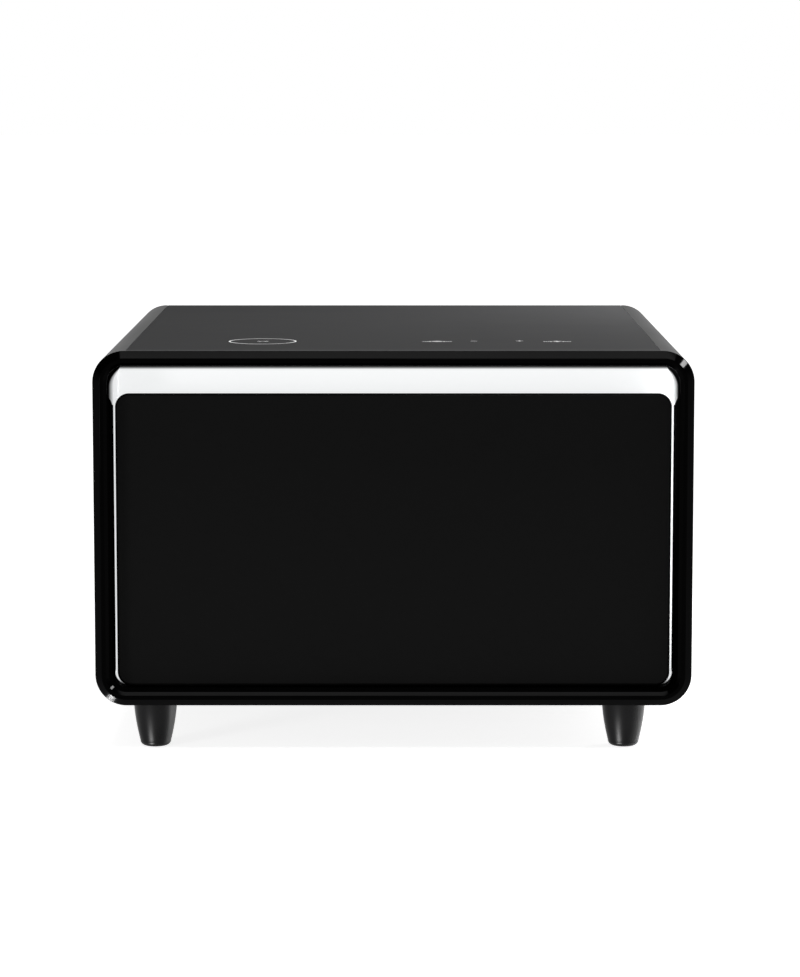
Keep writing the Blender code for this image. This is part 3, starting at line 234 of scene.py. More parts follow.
class Effects:
    """The shader node groups that several finishes share, each built once."""

    usual_scale = 900.0
    grain_detail = 3.0
    broad_share = 0.02
    broad_detail = 2.0
    brushing = (1.0, 0.02, 1.0)
    line_detail = 4.0
    cloud_scale = 22.0
    cloud_detail = 3.0
    cloud_gain = 2.0
    patch_scale = 14.0
    patch_detail = 4.0
    cell_gain = 3.0
    smear_detail = 5.0
    smear_twist = 0.6
    smear_span = (0.42, 0.68)
    dust_detail = 2.0
    dust_span = (0.64, 0.80)
    edge_span = (0.53, 0.62)
    break_scale = 120.0
    break_detail = 4.0
    break_span = (0.40, 0.60)

    def __init__(self) -> None:
        """Build every group."""
        self.surfaces = {
            Surface.GRAIN: self._grain(),
            Surface.BRUSHED: self._brushed(),
            Surface.STIPPLED: self._stippled(),
            Surface.CELLS: self._cells(),
        }
        self.handling = self._handling()
        self.edge = self._edge()

    @staticmethod
    def _start(
        name: str, inputs: Iterable[tuple[str, float]], outputs: Iterable[str]
    ) -> tuple[Wiring, Node, Node]:
        """Open a new group.

        Args:
            name: the group's name.
            inputs: its inputs with their usual values.
            outputs: the names of its outputs.

        Returns:
            The wiring, the group's input node and its output node.
        """
        tree = bpy.data.node_groups.new(name, "ShaderNodeTree")
        for label, value in inputs:
            socket = tree.interface.new_socket(
                label, in_out="INPUT", socket_type="NodeSocketFloat"
            )
            socket.default_value = value
        for label in outputs:
            tree.interface.new_socket(label, in_out="OUTPUT", socket_type="NodeSocketFloat")
        wiring = Wiring(tree)
        return wiring, wiring.node("NodeGroupInput"), wiring.node("NodeGroupOutput")

    def _surface(self, name: str) -> tuple[Wiring, Socket, Node]:
        """Open a group that puts out a height and a tone.

        Args:
            name: the group's name.

        Returns:
            The wiring, the socket of its scale and its output node.
        """
        inputs = [("Scale", self.usual_scale)]
        wiring, start, end = self._start(name, inputs, ["Height", "Tone"])
        return wiring, start.outputs["Scale"], end

    def _grain(self) -> bpy.types.NodeTree:
        """Build the fine orange peel of paint and cast gloss.

        Returns:
            The group's tree.
        """
        wiring, scale, end = self._surface("fine_grain")
        place = wiring.place()
        fine = wiring.noise(place, scale, self.grain_detail)
        coarse = wiring.maths("MULTIPLY", scale, self.broad_share)
        broad = wiring.noise(place, coarse, self.broad_detail)
        wiring.feed_all(end, (("Height", fine), ("Tone", broad)))
        return wiring.tree

    def _brushed(self) -> bpy.types.NodeTree:
        """Build the drawn lines of rolled or brushed metal, along the depth of the cabinet.

        Returns:
            The group's tree.
        """
        wiring, scale, end = self._surface("brushed_lines")
        lines = wiring.noise(wiring.place(self.brushing), scale, self.line_detail)
        cloudy = wiring.noise(wiring.place(), self.cloud_scale, self.cloud_detail)
        both = wiring.maths("MULTIPLY", lines, cloudy)
        tone = wiring.maths("MULTIPLY", both, self.cloud_gain, clamp=True)
        wiring.feed_all(end, (("Height", lines), ("Tone", tone)))
        return wiring.tree

    def _stippled(self) -> bpy.types.NodeTree:
        """Build the spark-eroded stipple of moulded plastic.

        Returns:
            The group's tree.
        """
        wiring, scale, end = self._surface("moulded_stipple")
        place = wiring.place()
        settings = {"feature": "SMOOTH_F1"}
        pits = wiring.node("ShaderNodeTexVoronoi", settings, Vector=place, Scale=scale)
        broad = wiring.noise(place, self.patch_scale, self.patch_detail)
        wiring.feed_all(end, (("Height", pits.outputs["Distance"]), ("Tone", broad)))
        return wiring.tree

    def _cells(self) -> bpy.types.NodeTree:
        """Build the open cells of cut foam.

        Returns:
            The group's tree.
        """
        wiring, scale, end = self._surface("foam_cells")
        settings = {"feature": "DISTANCE_TO_EDGE"}
        cells = wiring.node("ShaderNodeTexVoronoi", settings, Vector=wiring.place(), Scale=scale)
        distance = cells.outputs["Distance"]
        height = wiring.maths("MULTIPLY", distance, self.cell_gain, clamp=True)
        wiring.feed_all(end, (("Height", height), ("Tone", distance)))
        return wiring.tree

    def _handling(self) -> bpy.types.NodeTree:
        """Build the faint smears that change the shine, and the mask of the dust.

        Returns:
            The group's tree.
        """
        inputs = [("Roughness", 0.3), ("Amount", 0.1), ("Scale", 6.0)]
        wiring, start, end = self._start("handling_marks", inputs, ["Roughness", "Dust"])
        place = wiring.place()
        twist = {"Distortion": self.smear_twist}
        smear = wiring.noise(place, start.outputs["Scale"], self.smear_detail, **twist)
        dust = wiring.noise(place, self.usual_scale, self.dust_detail)
        shown = wiring.ramp(smear, self.smear_span)
        added = wiring.maths("MULTIPLY", shown, start.outputs["Amount"])
        rough = wiring.maths("ADD", start.outputs["Roughness"], added, clamp=True)
        wiring.feed_all(end, (("Roughness", rough), ("Dust", wiring.ramp(dust, self.dust_span))))
        return wiring.tree

    def _edge(self) -> bpy.types.NodeTree:
        """Build the mask of outer edges, broken up as rubbing leaves them.

        Returns:
            The group's tree.
        """
        wiring, start, end = self._start("edge_rub", [("Amount", 0.3)], ["Mask"])
        point = wiring.node("ShaderNodeNewGeometry").outputs["Pointiness"]
        edges = wiring.ramp(point, self.edge_span)
        patches = wiring.noise(wiring.place(), self.break_scale, self.break_detail)
        broken = wiring.ramp(patches, self.break_span)
        shown = wiring.maths("MULTIPLY", edges, broken)
        mask = wiring.maths("MULTIPLY", shown, start.outputs["Amount"], clamp=True)
        wiring.feed(end, "Mask", mask)
        return wiring.tree


@dataclass(frozen=True)
class Layers:
    """What a base colour is wired from: the wiring, the shared groups and the two placed ones."""

    wiring: Wiring
    effects: Effects
    texture: Node
    marks: Node | None


@dataclass(frozen=True)
class Finish:
    """One finish: its colour, its shine and what breaks it up at close range."""

    name: str
    slot: str
    colour: Colour
    roughness: float
    metallic: float = 0.0
    specular: float = 0.5
    surface: Surface = Surface.GRAIN
    scale: float = 900.0
    height: float = 0.00002
    tone: float = 0.06
    marks: float = 0.06
    marks_scale: float = 6.0
    dust: float = 0.0
    dust_colour: Colour = (0.35, 0.35, 0.36)
    rub: float = 0.0
    rub_gain: float = 1.6
    rub_lift: float = 0.05
    glow: float = 0.0
    glow_colour: Colour = (1.0, 1.0, 1.0)

    def material(self, effects: Effects) -> bpy.types.Material:
        """Make the material, or return it if it is made already.

        Args:
            effects: the shared node groups.

        Returns:
            The finish's material.
        """
        label = f"{self.name}_finish"
        made = bpy.data.materials.get(label)
        if made is not None:
            return made
        made = bpy.data.materials.new(label)
        made.use_nodes = True
        wiring = Wiring(made.node_tree)
        shader = made.node_tree.nodes["Principled BSDF"]
        texture = wiring.group(effects.surfaces[self.surface], Scale=self.scale)
        marks = self._marks(wiring, effects) if self.marks or self.dust else None
        rough = marks.outputs["Roughness"] if self.marks else self.roughness
        colour = self._colour(Layers(wiring, effects, texture, marks))
        bump = wiring.node("ShaderNodeBump", Height=texture.outputs["Height"], Distance=self.height)
        inputs = {
            "Base Color": colour,
            "Roughness": rough,
            "Metallic": self._metal(wiring),
            "Specular IOR Level": self.specular,
            "Normal": bump.outputs["Normal"],
        }
        if self.glow:
            inputs["Emission Strength"] = self.glow
            inputs["Emission Color"] = self._glow(wiring)
        wiring.feed_all(shader, inputs.items())
        return made

    def _marks(self, wiring: Wiring, effects: Effects) -> Node:
        """Place the group of handling marks."""
        values = {"Roughness": self.roughness, "Amount": self.marks, "Scale": self.marks_scale}
        return wiring.group(effects.handling, **values)

    def _colour(self, layers: Layers) -> Socket:
        """Wire the base colour: clouded by the tone, dusted, and paler where edges are rubbed.

        Args:
            layers: what the colour is wired from.

        Returns:
            The colour's socket.
        """
        wiring = layers.wiring
        deep = tuple(channel * (1.0 - self.tone) for channel in self.colour)
        pale = tuple(min(1.0, channel * (1.0 + self.tone)) for channel in self.colour)
        colour = wiring.blend(layers.texture.outputs["Tone"], (*deep, 1.0), (*pale, 1.0))
        if self.dust:
            share = wiring.maths("MULTIPLY", layers.marks.outputs["Dust"], self.dust)
            colour = wiring.blend(share, colour, (*self.dust_colour, 1.0))
        if self.rub:
            mask = wiring.group(layers.effects.edge, Amount=self.rub).outputs["Mask"]
            worn = [min(1.0, channel * self.rub_gain + self.rub_lift) for channel in self.colour]
            colour = wiring.blend(mask, colour, (*worn, 1.0))
        return colour

    def _metal(self, wiring: Wiring) -> object:
        """Return the metallic value, the same all over."""
        return self.metallic

    def _glow(self, wiring: Wiring) -> object:
        """Return the colour of the light that the finish gives, the same all over."""
        return (*self.glow_colour, 1.0)


@dataclass(frozen=True)
class LitOpal(Finish):
    """The opal sheet of the surround, lit from behind, with painted shade along its top that
    darkens its colour and its glow.
    """

    # Painted shade: between these heights the colour and the glow fade to black, standing in for
    # the shade under the frame's top.
    painted_shade_span: Point = (0.4158, 0.4196)
    painted_shade_colour: Colour = (0.002, 0.002, 0.002)

    def _out_of_shade(self, wiring: Wiring) -> Socket:
        """Return 1 on the sheet and 0 in the painted shade along its top, fading between the two
        heights.
        """
        return wiring.ramp(wiring.axes()["Z"], self.painted_shade_span, (1.0, 0.0))

    def _colour(self, layers: Layers) -> Socket:
        """Wire the base colour, darkened to black by the painted shade along the top."""
        colour = super()._colour(layers)
        return layers.wiring.blend(self._out_of_shade(layers.wiring), (*self.painted_shade_colour, 1.0), colour)

    def _glow(self, wiring: Wiring) -> object:
        """Return the glow's colour, faded to black by the painted shade along the top."""
        return wiring.blend(self._out_of_shade(wiring), BLACK, (*self.glow_colour, 1.0))


@dataclass(frozen=True)
class TunnelGloss(Finish):
    """The tunnel's lining: gloss black at its mouth, which turns into a mirror towards the light.

    Depths lie behind the front plane and halves beside the middle plane. The corner fields round
    the mirror off at the top: above corner_start the black reaches deeper, by the cube of the rise.
    """

    black: Colour = (0.0003, 0.0003, 0.0003)
    metal_depths: Point = (0.0150, 0.0305)
    metal_halves: Point = (0.284, 0.291)
    silver_depths: Point = (0.0265, 0.0490)
    silver_halves: Point = (0.288, 0.297)
    low_fade: Point = (0.0690, 0.0790)
    corner_start: float = 0.4000
    corner_height: float = 0.0185
    corner_power: float = 3.0
    corner_depth: float = 0.066

    def _mask(self, wiring: Wiring, depths: Point, halves: Point) -> Socket:
        """Return a mask of the side walls that rises with the depth and rounds off at the top.

        Args:
            wiring: the material's wiring.
            depths: where it starts and ends behind the front plane.
            halves: where it starts and ends beside the middle plane.

        Returns:
            The mask's socket.
        """
        axes, maths = wiring.axes(), wiring.maths
        above = maths("MAXIMUM", maths("SUBTRACT", axes["Z"], self.corner_start), 0.0)
        rise = maths("POWER", maths("DIVIDE", above, self.corner_height), self.corner_power)
        depth = maths("SUBTRACT", axes["Y"], maths("MULTIPLY", rise, self.corner_depth))
        inwards = wiring.ramp(depth, (FRONT + depths[0], FRONT + depths[1]))
        sideways = wiring.ramp(maths("ABSOLUTE", axes["X"]), halves)
        low = wiring.ramp(axes["Z"], self.low_fade)
        return maths("MULTIPLY", maths("MULTIPLY", inwards, sideways), low)

    def _colour(self, layers: Layers) -> Socket:
        """Wire the base colour from black to the mirror's silver."""
        shown = self._mask(layers.wiring, self.silver_depths, self.silver_halves)
        return layers.wiring.blend(shown, (*self.black, 1.0), super()._colour(layers))

    def _metal(self, wiring: Wiring) -> object:
        """Return the mask of the mirror."""
        return self._mask(wiring, self.metal_depths, self.metal_halves)


FRAME_GLOSS = Finish(
    "frame_gloss", "frame_gloss", (0.0001, 0.0001, 0.00012), 0.08,
    specular=0.011, height=0.000002, marks=0.03,
)
TUNNEL_GLOSS = TunnelGloss(
    "tunnel_gloss", "frame_gloss", (0.90, 0.90, 0.91), 0.02,
    specular=0.0, height=0.0000005, tone=0.01, marks=0.0,
)
CARRIER_BLACK = Finish(
    "carrier_black", "frame_gloss", (0.0006, 0.0006, 0.0006), 0.70, specular=0.0, marks=0.0
)
SHELL_PAINT = Finish(
    "shell_paint", "shell_paint", (0.014, 0.014, 0.0143), 0.42,
    specular=0.30, scale=1400.0, height=0.000012, marks=0.02, marks_scale=3.0, rub=0.08,
)
TOP_GLASS = Finish(
    "top_glass", "top_glass", (0.0275, 0.0275, 0.0280), 0.50,
    specular=0.003, height=0.000001, marks=0.01, dust=0.02,
)
DOOR_GLASS = Finish(
    "door_glass", "door_glass", (0.0054, 0.0054, 0.0054), 0.08,
    specular=0.018, height=0.0000015, tone=0.03, marks=0.02,
)
OPAL_LIT = LitOpal(
    "opal_lit", "opal", (0.28, 0.28, 0.28), 0.45,
    glow=0.84, glow_colour=(0.98, 0.995, 1.0), tone=0.01,
)
OPAL = Finish(
    "opal", "opal", (0.86, 0.87, 0.86), 0.40,
    glow=0.35, glow_colour=(0.95, 0.98, 1.0), tone=0.02,
)
WHITE_PLASTIC = Finish(
    "white_plastic", "white_plastic", (0.76, 0.77, 0.78), 0.34,
    surface=Surface.STIPPLED, scale=1100.0, tone=0.02,
)
FOAM = Finish(
    "foam", "foam", (0.72, 0.62, 0.40), 0.90,
    surface=Surface.CELLS, scale=420.0, height=0.0004, tone=0.12, marks=0.0,
)
BIN_PLASTIC = Finish(
    "bin_plastic", "bin_plastic", (0.50, 0.52, 0.54), 0.28, surface=Surface.STIPPLED, tone=0.03
)
ZINC_STEEL = Finish(
    "zinc_steel", "zinc_steel", (0.55, 0.56, 0.58), 0.30,
    metallic=1.0, surface=Surface.BRUSHED, scale=1300.0, tone=0.10, marks=0.12,
)
ALUMINIUM = Finish(
    "aluminium", "aluminium", (0.75, 0.76, 0.77), 0.28,
    metallic=1.0, surface=Surface.BRUSHED, scale=1600.0, marks=0.08,
)
COPPER = Finish(
    "copper", "copper", (0.72, 0.37, 0.22), 0.26,
    metallic=1.0, scale=300.0, tone=0.14, marks=0.18, marks_scale=40.0,
)
RUBBER = Finish(
    "rubber", "rubber", (0.018, 0.018, 0.018), 0.72,
    specular=0.3, surface=Surface.STIPPLED, scale=1500.0, height=0.00004,
)
FOOT_BLACK = Finish(
    "foot_black", "foot_black", (0.0015, 0.0015, 0.0016), 0.26,
    specular=0.075, scale=1500.0, height=0.000008, rub=0.06,
)
MACHINE_BLACK = Finish(
    "machine_black", "machine_black", (0.014, 0.014, 0.015), 0.40,
    scale=1200.0, height=0.00003, dust=0.04,
)
BLACK_PLASTIC = Finish(
    "black_plastic", "black_plastic", (0.014, 0.014, 0.015), 0.48,
    specular=0.3, surface=Surface.STIPPLED, scale=1300.0, height=0.00003, rub=0.08,
)
BOARD = Finish("board", "board", (0.02, 0.13, 0.06), 0.42, scale=500.0, tone=0.2)
FERRITE = Finish("ferrite", "ferrite", (0.05, 0.05, 0.055), 0.60, scale=700.0, tone=0.2)
PRINT_WHITE = Finish(
    "print_white", "top_glass", (0.92, 0.92, 0.92), 0.55, specular=0.1, tone=0.03
)
CONTACT_METAL = Finish(
    "contact_metal", "zinc_steel", (0.70, 0.69, 0.66), 0.25,
    metallic=1.0, surface=Surface.BRUSHED,
)


def arc(
    centre: Point, radius: float, start: float, end: float, steps: int = FINE_STEPS
) -> Outline:
    """Return an arc's points between two angles in degrees, one more than its steps."""
    angles = [math.radians(start + (end - start) * step / steps) for step in range(steps + 1)]
    return [(centre[0] + radius * math.cos(a), centre[1] + radius * math.sin(a)) for a in angles]


def rounded(
    half: float, low: float, high: float, radius: float, steps: int = FINE_STEPS
) -> Outline:
    """Return a rounded rectangle about the middle plane.

    Args:
        half: half its width.
        low: its lower limit.
        high: its upper limit.
        radius: its corner radius.
        steps: the chords of each corner.

    Returns:
        Its points, anticlockwise.
    """
    inner = half - radius
    outline = arc((inner, low + radius), radius, -90.0, 0.0, steps)
    outline += arc((inner, high - radius), radius, 0.0, 90.0, steps)
    outline += arc((-inner, high - radius), radius, 90.0, 180.0, steps)
    return outline + arc((-inner, low + radius), radius, 180.0, 270.0, steps)


def body_outline(inset: float) -> Outline:
    """Return the cabinet's rounded outline, moved inwards by the inset."""
    return rounded(HALF - inset, BOTTOM + inset, TOP - inset, CORNER_RADIUS - inset)


def folded(outer: Outline, inner: Outline) -> Outline:
    """Return the outline of a bent strip, from the right halves of its outer and inner sides."""
    outline = outer + [(-x, z) for x, z in reversed(outer)]
    return outline + [(-x, z) for x, z in inner] + list(reversed(inner))


def upright(outline: Outline, depth: float) -> list[Place]:
    """Stand an outline up at a depth behind the front plane."""
    return [(x, FRONT + depth, z) for x, z in outline]


def flat(outline: Outline, height: float) -> list[Place]:
    """Lay an outline down at a height."""
    return [(x, y, height) for x, y in outline]


def skin(bm: Mesh, ring: Sequence[Corner], following: Sequence[Corner]) -> None:
    """Join two rings of equally many corners with a strip of faces.

    Args:
        bm: the mesh to add to.
        ring: the first ring.
        following: the second ring.
    """
    for i in range(len(ring)):
        j = (i + 1) % len(ring)
        bm.faces.new((ring[i], ring[j], following[j], following[i]))


def loft(
    sections: Sequence[Sequence[Place]], closed: bool = False, bm: Mesh | None = None
) -> Mesh:
    """Skin a row of equal sections.

    Args:
        sections: the sections, each with the same number of points.
        closed: whether the last section joins the first, in place of end caps.
        bm: the mesh to add to, or None for a new one.

    Returns:
        The mesh.
    """
    bm = bm or bmesh.new()
    rings = [[bm.verts.new(point) for point in section] for section in sections]
    pairs = list(zip(rings, rings[1:]))
    if closed:
        pairs.append((rings[-1], rings[0]))
    else:
        bm.faces.new(rings[0])
        bm.faces.new(rings[-1])
    for ring, following in pairs:
        skin(bm, ring, following)
    return bm


def lathe(profile: Sequence[Point], steps: int, centre: Place) -> Mesh:
    """Spin a profile about an upright axis.

    Args:
        profile: (radius, height) points from one end to the other.
        steps: how many flats go round.
        centre: a point on the axis, where the height is zero.

    Returns:
        The mesh.
    """
    bm = bmesh.new()
    rings = []
    for radius, height in profile:
        ring = []
        for step in range(steps if radius > 0.0 else 1):
            angle = 2.0 * math.pi * step / steps
            offset = Vector((radius * math.cos(angle), radius * math.sin(angle), height))
            ring.append(bm.verts.new(Vector(centre) + offset))
        rings.append(ring)
    for ring, following in zip(rings, rings[1:]):
        for i in range(steps):
            j = (i + 1) % steps
            corners = [ring[i % len(ring)], ring[j % len(ring)]]
            corners += [following[j % len(following)], following[i % len(following)]]
            bm.faces.new(list(dict.fromkeys(corners)))
    for ring in (rings[0], rings[-1]):
        if len(ring) > 1:
            bm.faces.new(ring)
    return bm


def fillet(path: Sequence[Point], radii: Sequence[float], steps: int = 4) -> Outline:
    """Round the inner corners of an open path.

    Args:
        path: the path's points.
        radii: one reach for each inner corner, how far the rounding runs along both sides.
        steps: the chords of each rounding.

    Returns:
        The rounded path.
    """
    rounded_path = [path[0]]
    for before, corner, after, reach in zip(path, path[1:], path[2:], radii):
        here = Vector(corner)
        into = (here - Vector(before)).normalized() * reach
        out = (Vector(after) - here).normalized() * reach
        for step in range(steps + 1):
            t = step / steps
            point = (1 - t) ** 2 * (here - into) + 2 * t * (1 - t) * here + t**2 * (here + out)
            rounded_path.append(tuple(point))
    rounded_path.append(path[-1])
    return rounded_path


def bar(x: float, y: float, width: float, length: float, turn: float = 0.0) -> Outline:
    """Return a turned rectangle.

    Args:
        x: the first coordinate of its middle.
        y: the second coordinate of its middle.
        width: its size along the first axis, before the turn.
        length: its size along the second axis, before the turn.
        turn: how far it is turned, in degrees.

    Returns:
        Its corners, anticlockwise.
    """
    cos, sin = math.cos(math.radians(turn)), math.sin(math.radians(turn))
    corners = ((-width, -length), (width, -length), (width, length), (-width, length))
    return [(x + (u * cos - v * sin) / 2, y + (u * sin + v * cos) / 2) for u, v in corners]


@dataclass(frozen=True)
class Window:
    """A rounded rectangle in an upright plane, as an opening or as a plate's edge."""

    x: float
    z: float
    width: float
    height: float
    radius: float
    steps: int = 6

    def outline(self, grow: float) -> Outline:
        """Trace the edge.

        Args:
            grow: how far the edge is moved outwards.

        Returns:
            Its points, anticlockwise from the lower right.
        """
        radius = self.radius + grow
        across, up = self.width / 2 + grow - radius, self.height / 2 + grow - radius
        points: Outline = []
        for side, level, start in ((1, -1, -90.0), (1, 1, 0.0), (-1, 1, 90.0), (-1, -1, 180.0)):
            centre = (self.x + side * across, self.z + level * up)
            points += arc(centre, radius, start, start + 90.0, self.steps)
        return points


@dataclass(frozen=True)
class KeyedWindow(Window):
    """A window with its two upper corners cut off, so that a connector goes in one way up."""

    cut: float = 0.004

    def outline(self, grow: float) -> Outline:
        """Trace the edge.

        Args:
            grow: how far the edge is moved outwards.

        Returns:
            Its points, anticlockwise from the lower right.
        """
        half, up = self.width / 2 + grow, self.height / 2 + grow
        radius, cut = self.radius + grow, self.cut + grow * (2.0 - math.sqrt(2.0))
        left, right, low = self.x - half, self.x + half, self.z - up + radius
        points = arc((right - radius, low), radius, -90.0, 0.0, self.steps)
        points += [(right, self.z + up - cut), (right - cut, self.z + up)]
        points += [(left + cut, self.z + up), (left, self.z + up - cut)]
        return points + arc((left + radius, low), radius, 180.0, 270.0, self.steps)


def band(bm: Mesh, window: Window, levels: Sequence[Point]) -> list[list[Corner]]:
    """Skin a window's wall through its levels.

    Args:
        bm: the mesh to add to.
        window: the rounded rectangle.
        levels: how far it grows, and the Y of each level.

    Returns:
        The rings of points, one for each level.
    """
    rings = [[bm.verts.new((x, y, z)) for x, z in window.outline(grow)] for grow, y in levels]
    for ring, following in zip(rings, rings[1:]):
        skin(bm, ring, following)
    return rings


def cap(bm: Mesh, *loops: Sequence[Corner]) -> None:
    """Close a flat region between an outer loop and the openings in it.

    Args:
        bm: the mesh to add to.
        *loops: the outer loop first, then the openings.
    """
    corners = [corner for loop in loops for corner in loop]
    for triangle in tessellate_polygon([[corner.co for corner in loop] for loop in loops]):
        bm.faces.new([corners[i] for i in triangle])


class Bench:
    """Turns meshes into pieces, dresses carried-over nodes and reports both."""

    weld_distance = 0.00001
    bevel_limit = 40.0
    bevel_segments = 2

    def __init__(self, frame: dict, effects: Effects) -> None:
        self.nodes = frame["nodes"]
        self.effects = effects

    def piece(
        self,
        name: str,
        bm: Mesh,
        finish: Finish,
        body: str,
        replaces: Sequence[str] = (),
        angle: float = 35.0,
    ) -> bpy.types.Object:
        """Turn a mesh into a piece that rides on a body.

        Args:
            name: the piece's name.
            bm: its mesh, which is freed.
            finish: its finish.
            body: the body it rides on.
            replaces: the nodes it stands for.
            angle: edges sharper than this many degrees stay sharp.

        Returns:
            The piece.
        """
        bmesh.ops.recalc_face_normals(bm, faces=bm.faces)
        mesh = bpy.data.meshes.new(name)
        bm.to_mesh(mesh)
        bm.free()
        mesh.shade_smooth()
        mesh.set_sharp_from_angle(angle=math.radians(angle))
        mesh.materials.append(finish.material(self.effects))
        made = bpy.data.objects.new(name, mesh)
        bpy.context.scene.collection.objects.link(made)
        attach(made, body)
        if replaces:
            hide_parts(*replaces)
        weighted = made.modifiers.new("flat_faces", "WEIGHTED_NORMAL")
        weighted.keep_sharp = True
        LOG.info("%s: %d faces, %s", name, len(mesh.polygons), finish.name)
        return made

    def dress(self, name: str, finish: Finish, edge: float = 0.0) -> None:
        """Give a carried-over node its finish, and rounded edges if it has a radius for them.

        Args:
            name: the node's name.
            finish: its finish.
            edge: the radius of its rounded edges, or 0 for none.
        """
        node = self.nodes[name]
        node.data.materials.clear()
        node.data.materials.append(finish.material(self.effects))
        if edge:
            weld = node.modifiers.new("weld", "WELD")
            weld.merge_threshold = self.weld_distance
            bevel = node.modifiers.new("rounded_edges", "BEVEL")
            bevel.width = edge
            bevel.segments = self.bevel_segments
            bevel.limit_method = "ANGLE"
            bevel.angle_limit = math.radians(self.bevel_limit)
            bevel.harden_normals = True
        LOG.info("%s: carried over, %s", name, finish.name)


@dataclass
class FrontFrame:
    """The glossy chamfered frame with the tunnel behind it."""

    ring: float = 0.016
    chamfer: float = 0.008
    inner_chamfer: float = 0.004
    land: float = 0.0025
    wall: float = 0.003
    tunnel_depth: float = 0.074
    draft_side: float = 0.0066
    draft_top: float = 0.003
    draft_bottom: float = 0.0018
    edge: float = 0.0009
    mouth_flare: float = 0.0002
    mouth_length: float = 0.004
    lining_start: float = 0.01
    lining_margin: float = 0.001

    def end_outline(self) -> Outline:
        """Trace the tunnel's far end.

        Returns:
            Its rounded outline, narrower than the mouth by the draft.
        """
        half = HALF - self.ring - self.draft_side
        low = BOTTOM + self.ring + self.draft_bottom
        high = TOP - self.ring - self.draft_top
        return rounded(half, low, high, CORNER_RADIUS - self.ring - self.draft_side)

    def build(self, bench: Bench) -> None:
        """Build the frame with its edges eased as a casting's are.

        Args:
            bench: makes the piece.
        """
        back, edge = self.chamfer + self.land, self.edge
        corners = [
            (0.0, back),
            (0.0, self.chamfer),
            (self.chamfer, 0.0),
            (self.ring - self.inner_chamfer, 0.0),
            (self.ring, self.inner_chamfer),
            (self.ring + self.mouth_flare, self.inner_chamfer + self.mouth_length),
        ]
        profile = fillet(corners, [edge, edge, edge / 2, edge / 2])[:-1]
        sections = [upright(body_outline(inset), depth) for inset, depth in profile]
        far, outset = self.tunnel_depth - GAP, self.ring - self.wall
        sections.append(upright(self.end_outline(), far))
        sections += [upright(body_outline(outset), depth) for depth in (far, back)]
        cast = loft(sections, closed=True)
        frame = bench.piece("front_frame_cast", cast, FRAME_GLOSS, "cabinet", ["front_frame"])
        frame.data.materials.append(TUNNEL_GLOSS.material(bench.effects))
        self._line(frame)

    def _line(self, frame: bpy.types.Object) -> None:
        """Give the faces inside the tunnel the frame's second material, the lining.

        Args:
            frame: the piece that the faces belong to.
        """
        start = FRONT + self.inner_chamfer + self.lining_start
        inset = self.ring - self.lining_margin
        for face in frame.data.polygons:
            x, y, z = face.center
            if abs(x) < HALF - inset and BOTTOM + inset < z < TOP - inset and y > start:
                face.material_index = 1


@dataclass
class Cabinet:
    """The folded shell, the glass top and what lies under it."""

    shell_front: float = 0.0108
    ledge: float = 0.012
    rim_edge: float = 0.0003
    inner_rim_edge: float = 0.0001
    glass_half: float = 0.289
    glass_thickness: float = 0.004
    glass_edge: float = 0.0008
    glass_radius: float = 0.002
    glass_steps: int = 4
    rear_flange: float = 0.014
    front_flange: float = 0.0127
    flange_front: float = 0.6965
    flange_gap: float = 0.0001

    def build(self, bench: Bench) -> None:
        """Build the shell and the glass, and dress the parts under the glass.

        Args:
            bench: makes the pieces.
        """
        shell = self._shell()
        bench.piece("cabinet_shell_folded", shell, SHELL_PAINT, "cabinet", ["cabinet_shell"])
        bench.piece("top_glass_polished", self._glass(), TOP_GLASS, "cabinet", ["top_glass"])
        bench.dress("top_deck", BLACK_PLASTIC)
        bench.dress("touch_control_board", BOARD)
        bench.dress("wireless_charging_coil", COPPER)
        bench.dress("charging_ferrite_plate", FERRITE)

    @staticmethod
    def _side(inset: float) -> Outline:
        """Return the bottom right corner, moved inwards by the inset."""
        centre = (HALF - CORNER_RADIUS, BOTTOM + CORNER_RADIUS)
        return arc(centre, CORNER_RADIUS - inset, 0.0, -90.0)

    def _shell(self) -> Mesh:
        """Fold the sheet with its ledges and flanges.

        Returns:
            The shell's mesh.
        """
        rim = self.glass_half + GAP
        tip = rim - self.ledge
        ledge = TOP - self.glass_thickness - GAP
        top_corner = (HALF - CORNER_RADIUS, TOP - CORNER_RADIUS)
        sides = []
        for inset, edge in ((0.0, self.rim_edge), (SHEET, self.inner_rim_edge)):
            side = [(tip, ledge - inset), (rim + inset, ledge - inset)]
            side += [(rim + inset, TOP - inset - edge), (rim + inset + edge, TOP - inset)]
            side += arc(top_corner, CORNER_RADIUS - inset, 90.0, 0.0) + self._side(inset)
            sides.append(side)
        outline = folded(*sides)
        bm = loft([upright(outline, self.shell_front), upright(outline, BODY_DEPTH)])
        flanges = ((self.shell_front, self.front_flange), (self.flange_front, self.rear_flange))
        for front, reach in flanges:
            flange = self._flange(reach)
            depths = (front + self.flange_gap, front + SHEET)
            loft([upright(flange, depth) for depth in depths], bm=bm)
        return bm

    def _flange(self, reach: float) -> Outline:
        """Trace the U of an inward flange, which stops below the top corners.

        Args:
            reach: how far it stands inwards of the outline.

        Returns:
            The flange's outline.
        """
        insets = (SHEET / 2, reach)
        high = TOP - CORNER_RADIUS
        return folded(*[[(HALF - inset, high)] + self._side(inset) for inset in insets])

    def _glass(self) -> Mesh:
        """Make the glass with its edges ground and polished.

        Returns:
            The glass's mesh.
        """
        low, high = TOP - self.glass_thickness, TOP
        front, back = FRONT + self.shell_front, -FRONT - GAP
        edge, steps = self.glass_edge, self.glass_steps
        levels = [(edge, low), (edge * EASE_SHARE, low + edge * EASE_SHARE), (0.0, low + edge)]
        levels += [(edge - x, high - edge + z) for x, z in arc((0.0, 0.0), edge, 0.0, 90.0, steps)]
        sections = []
        for inset, height in levels:
            half, radius = self.glass_half - inset, self.glass_radius - inset
            plan = rounded(half, front + inset, back - inset, radius, steps)
            sections.append(flat(plan, height))
        return loft(sections)


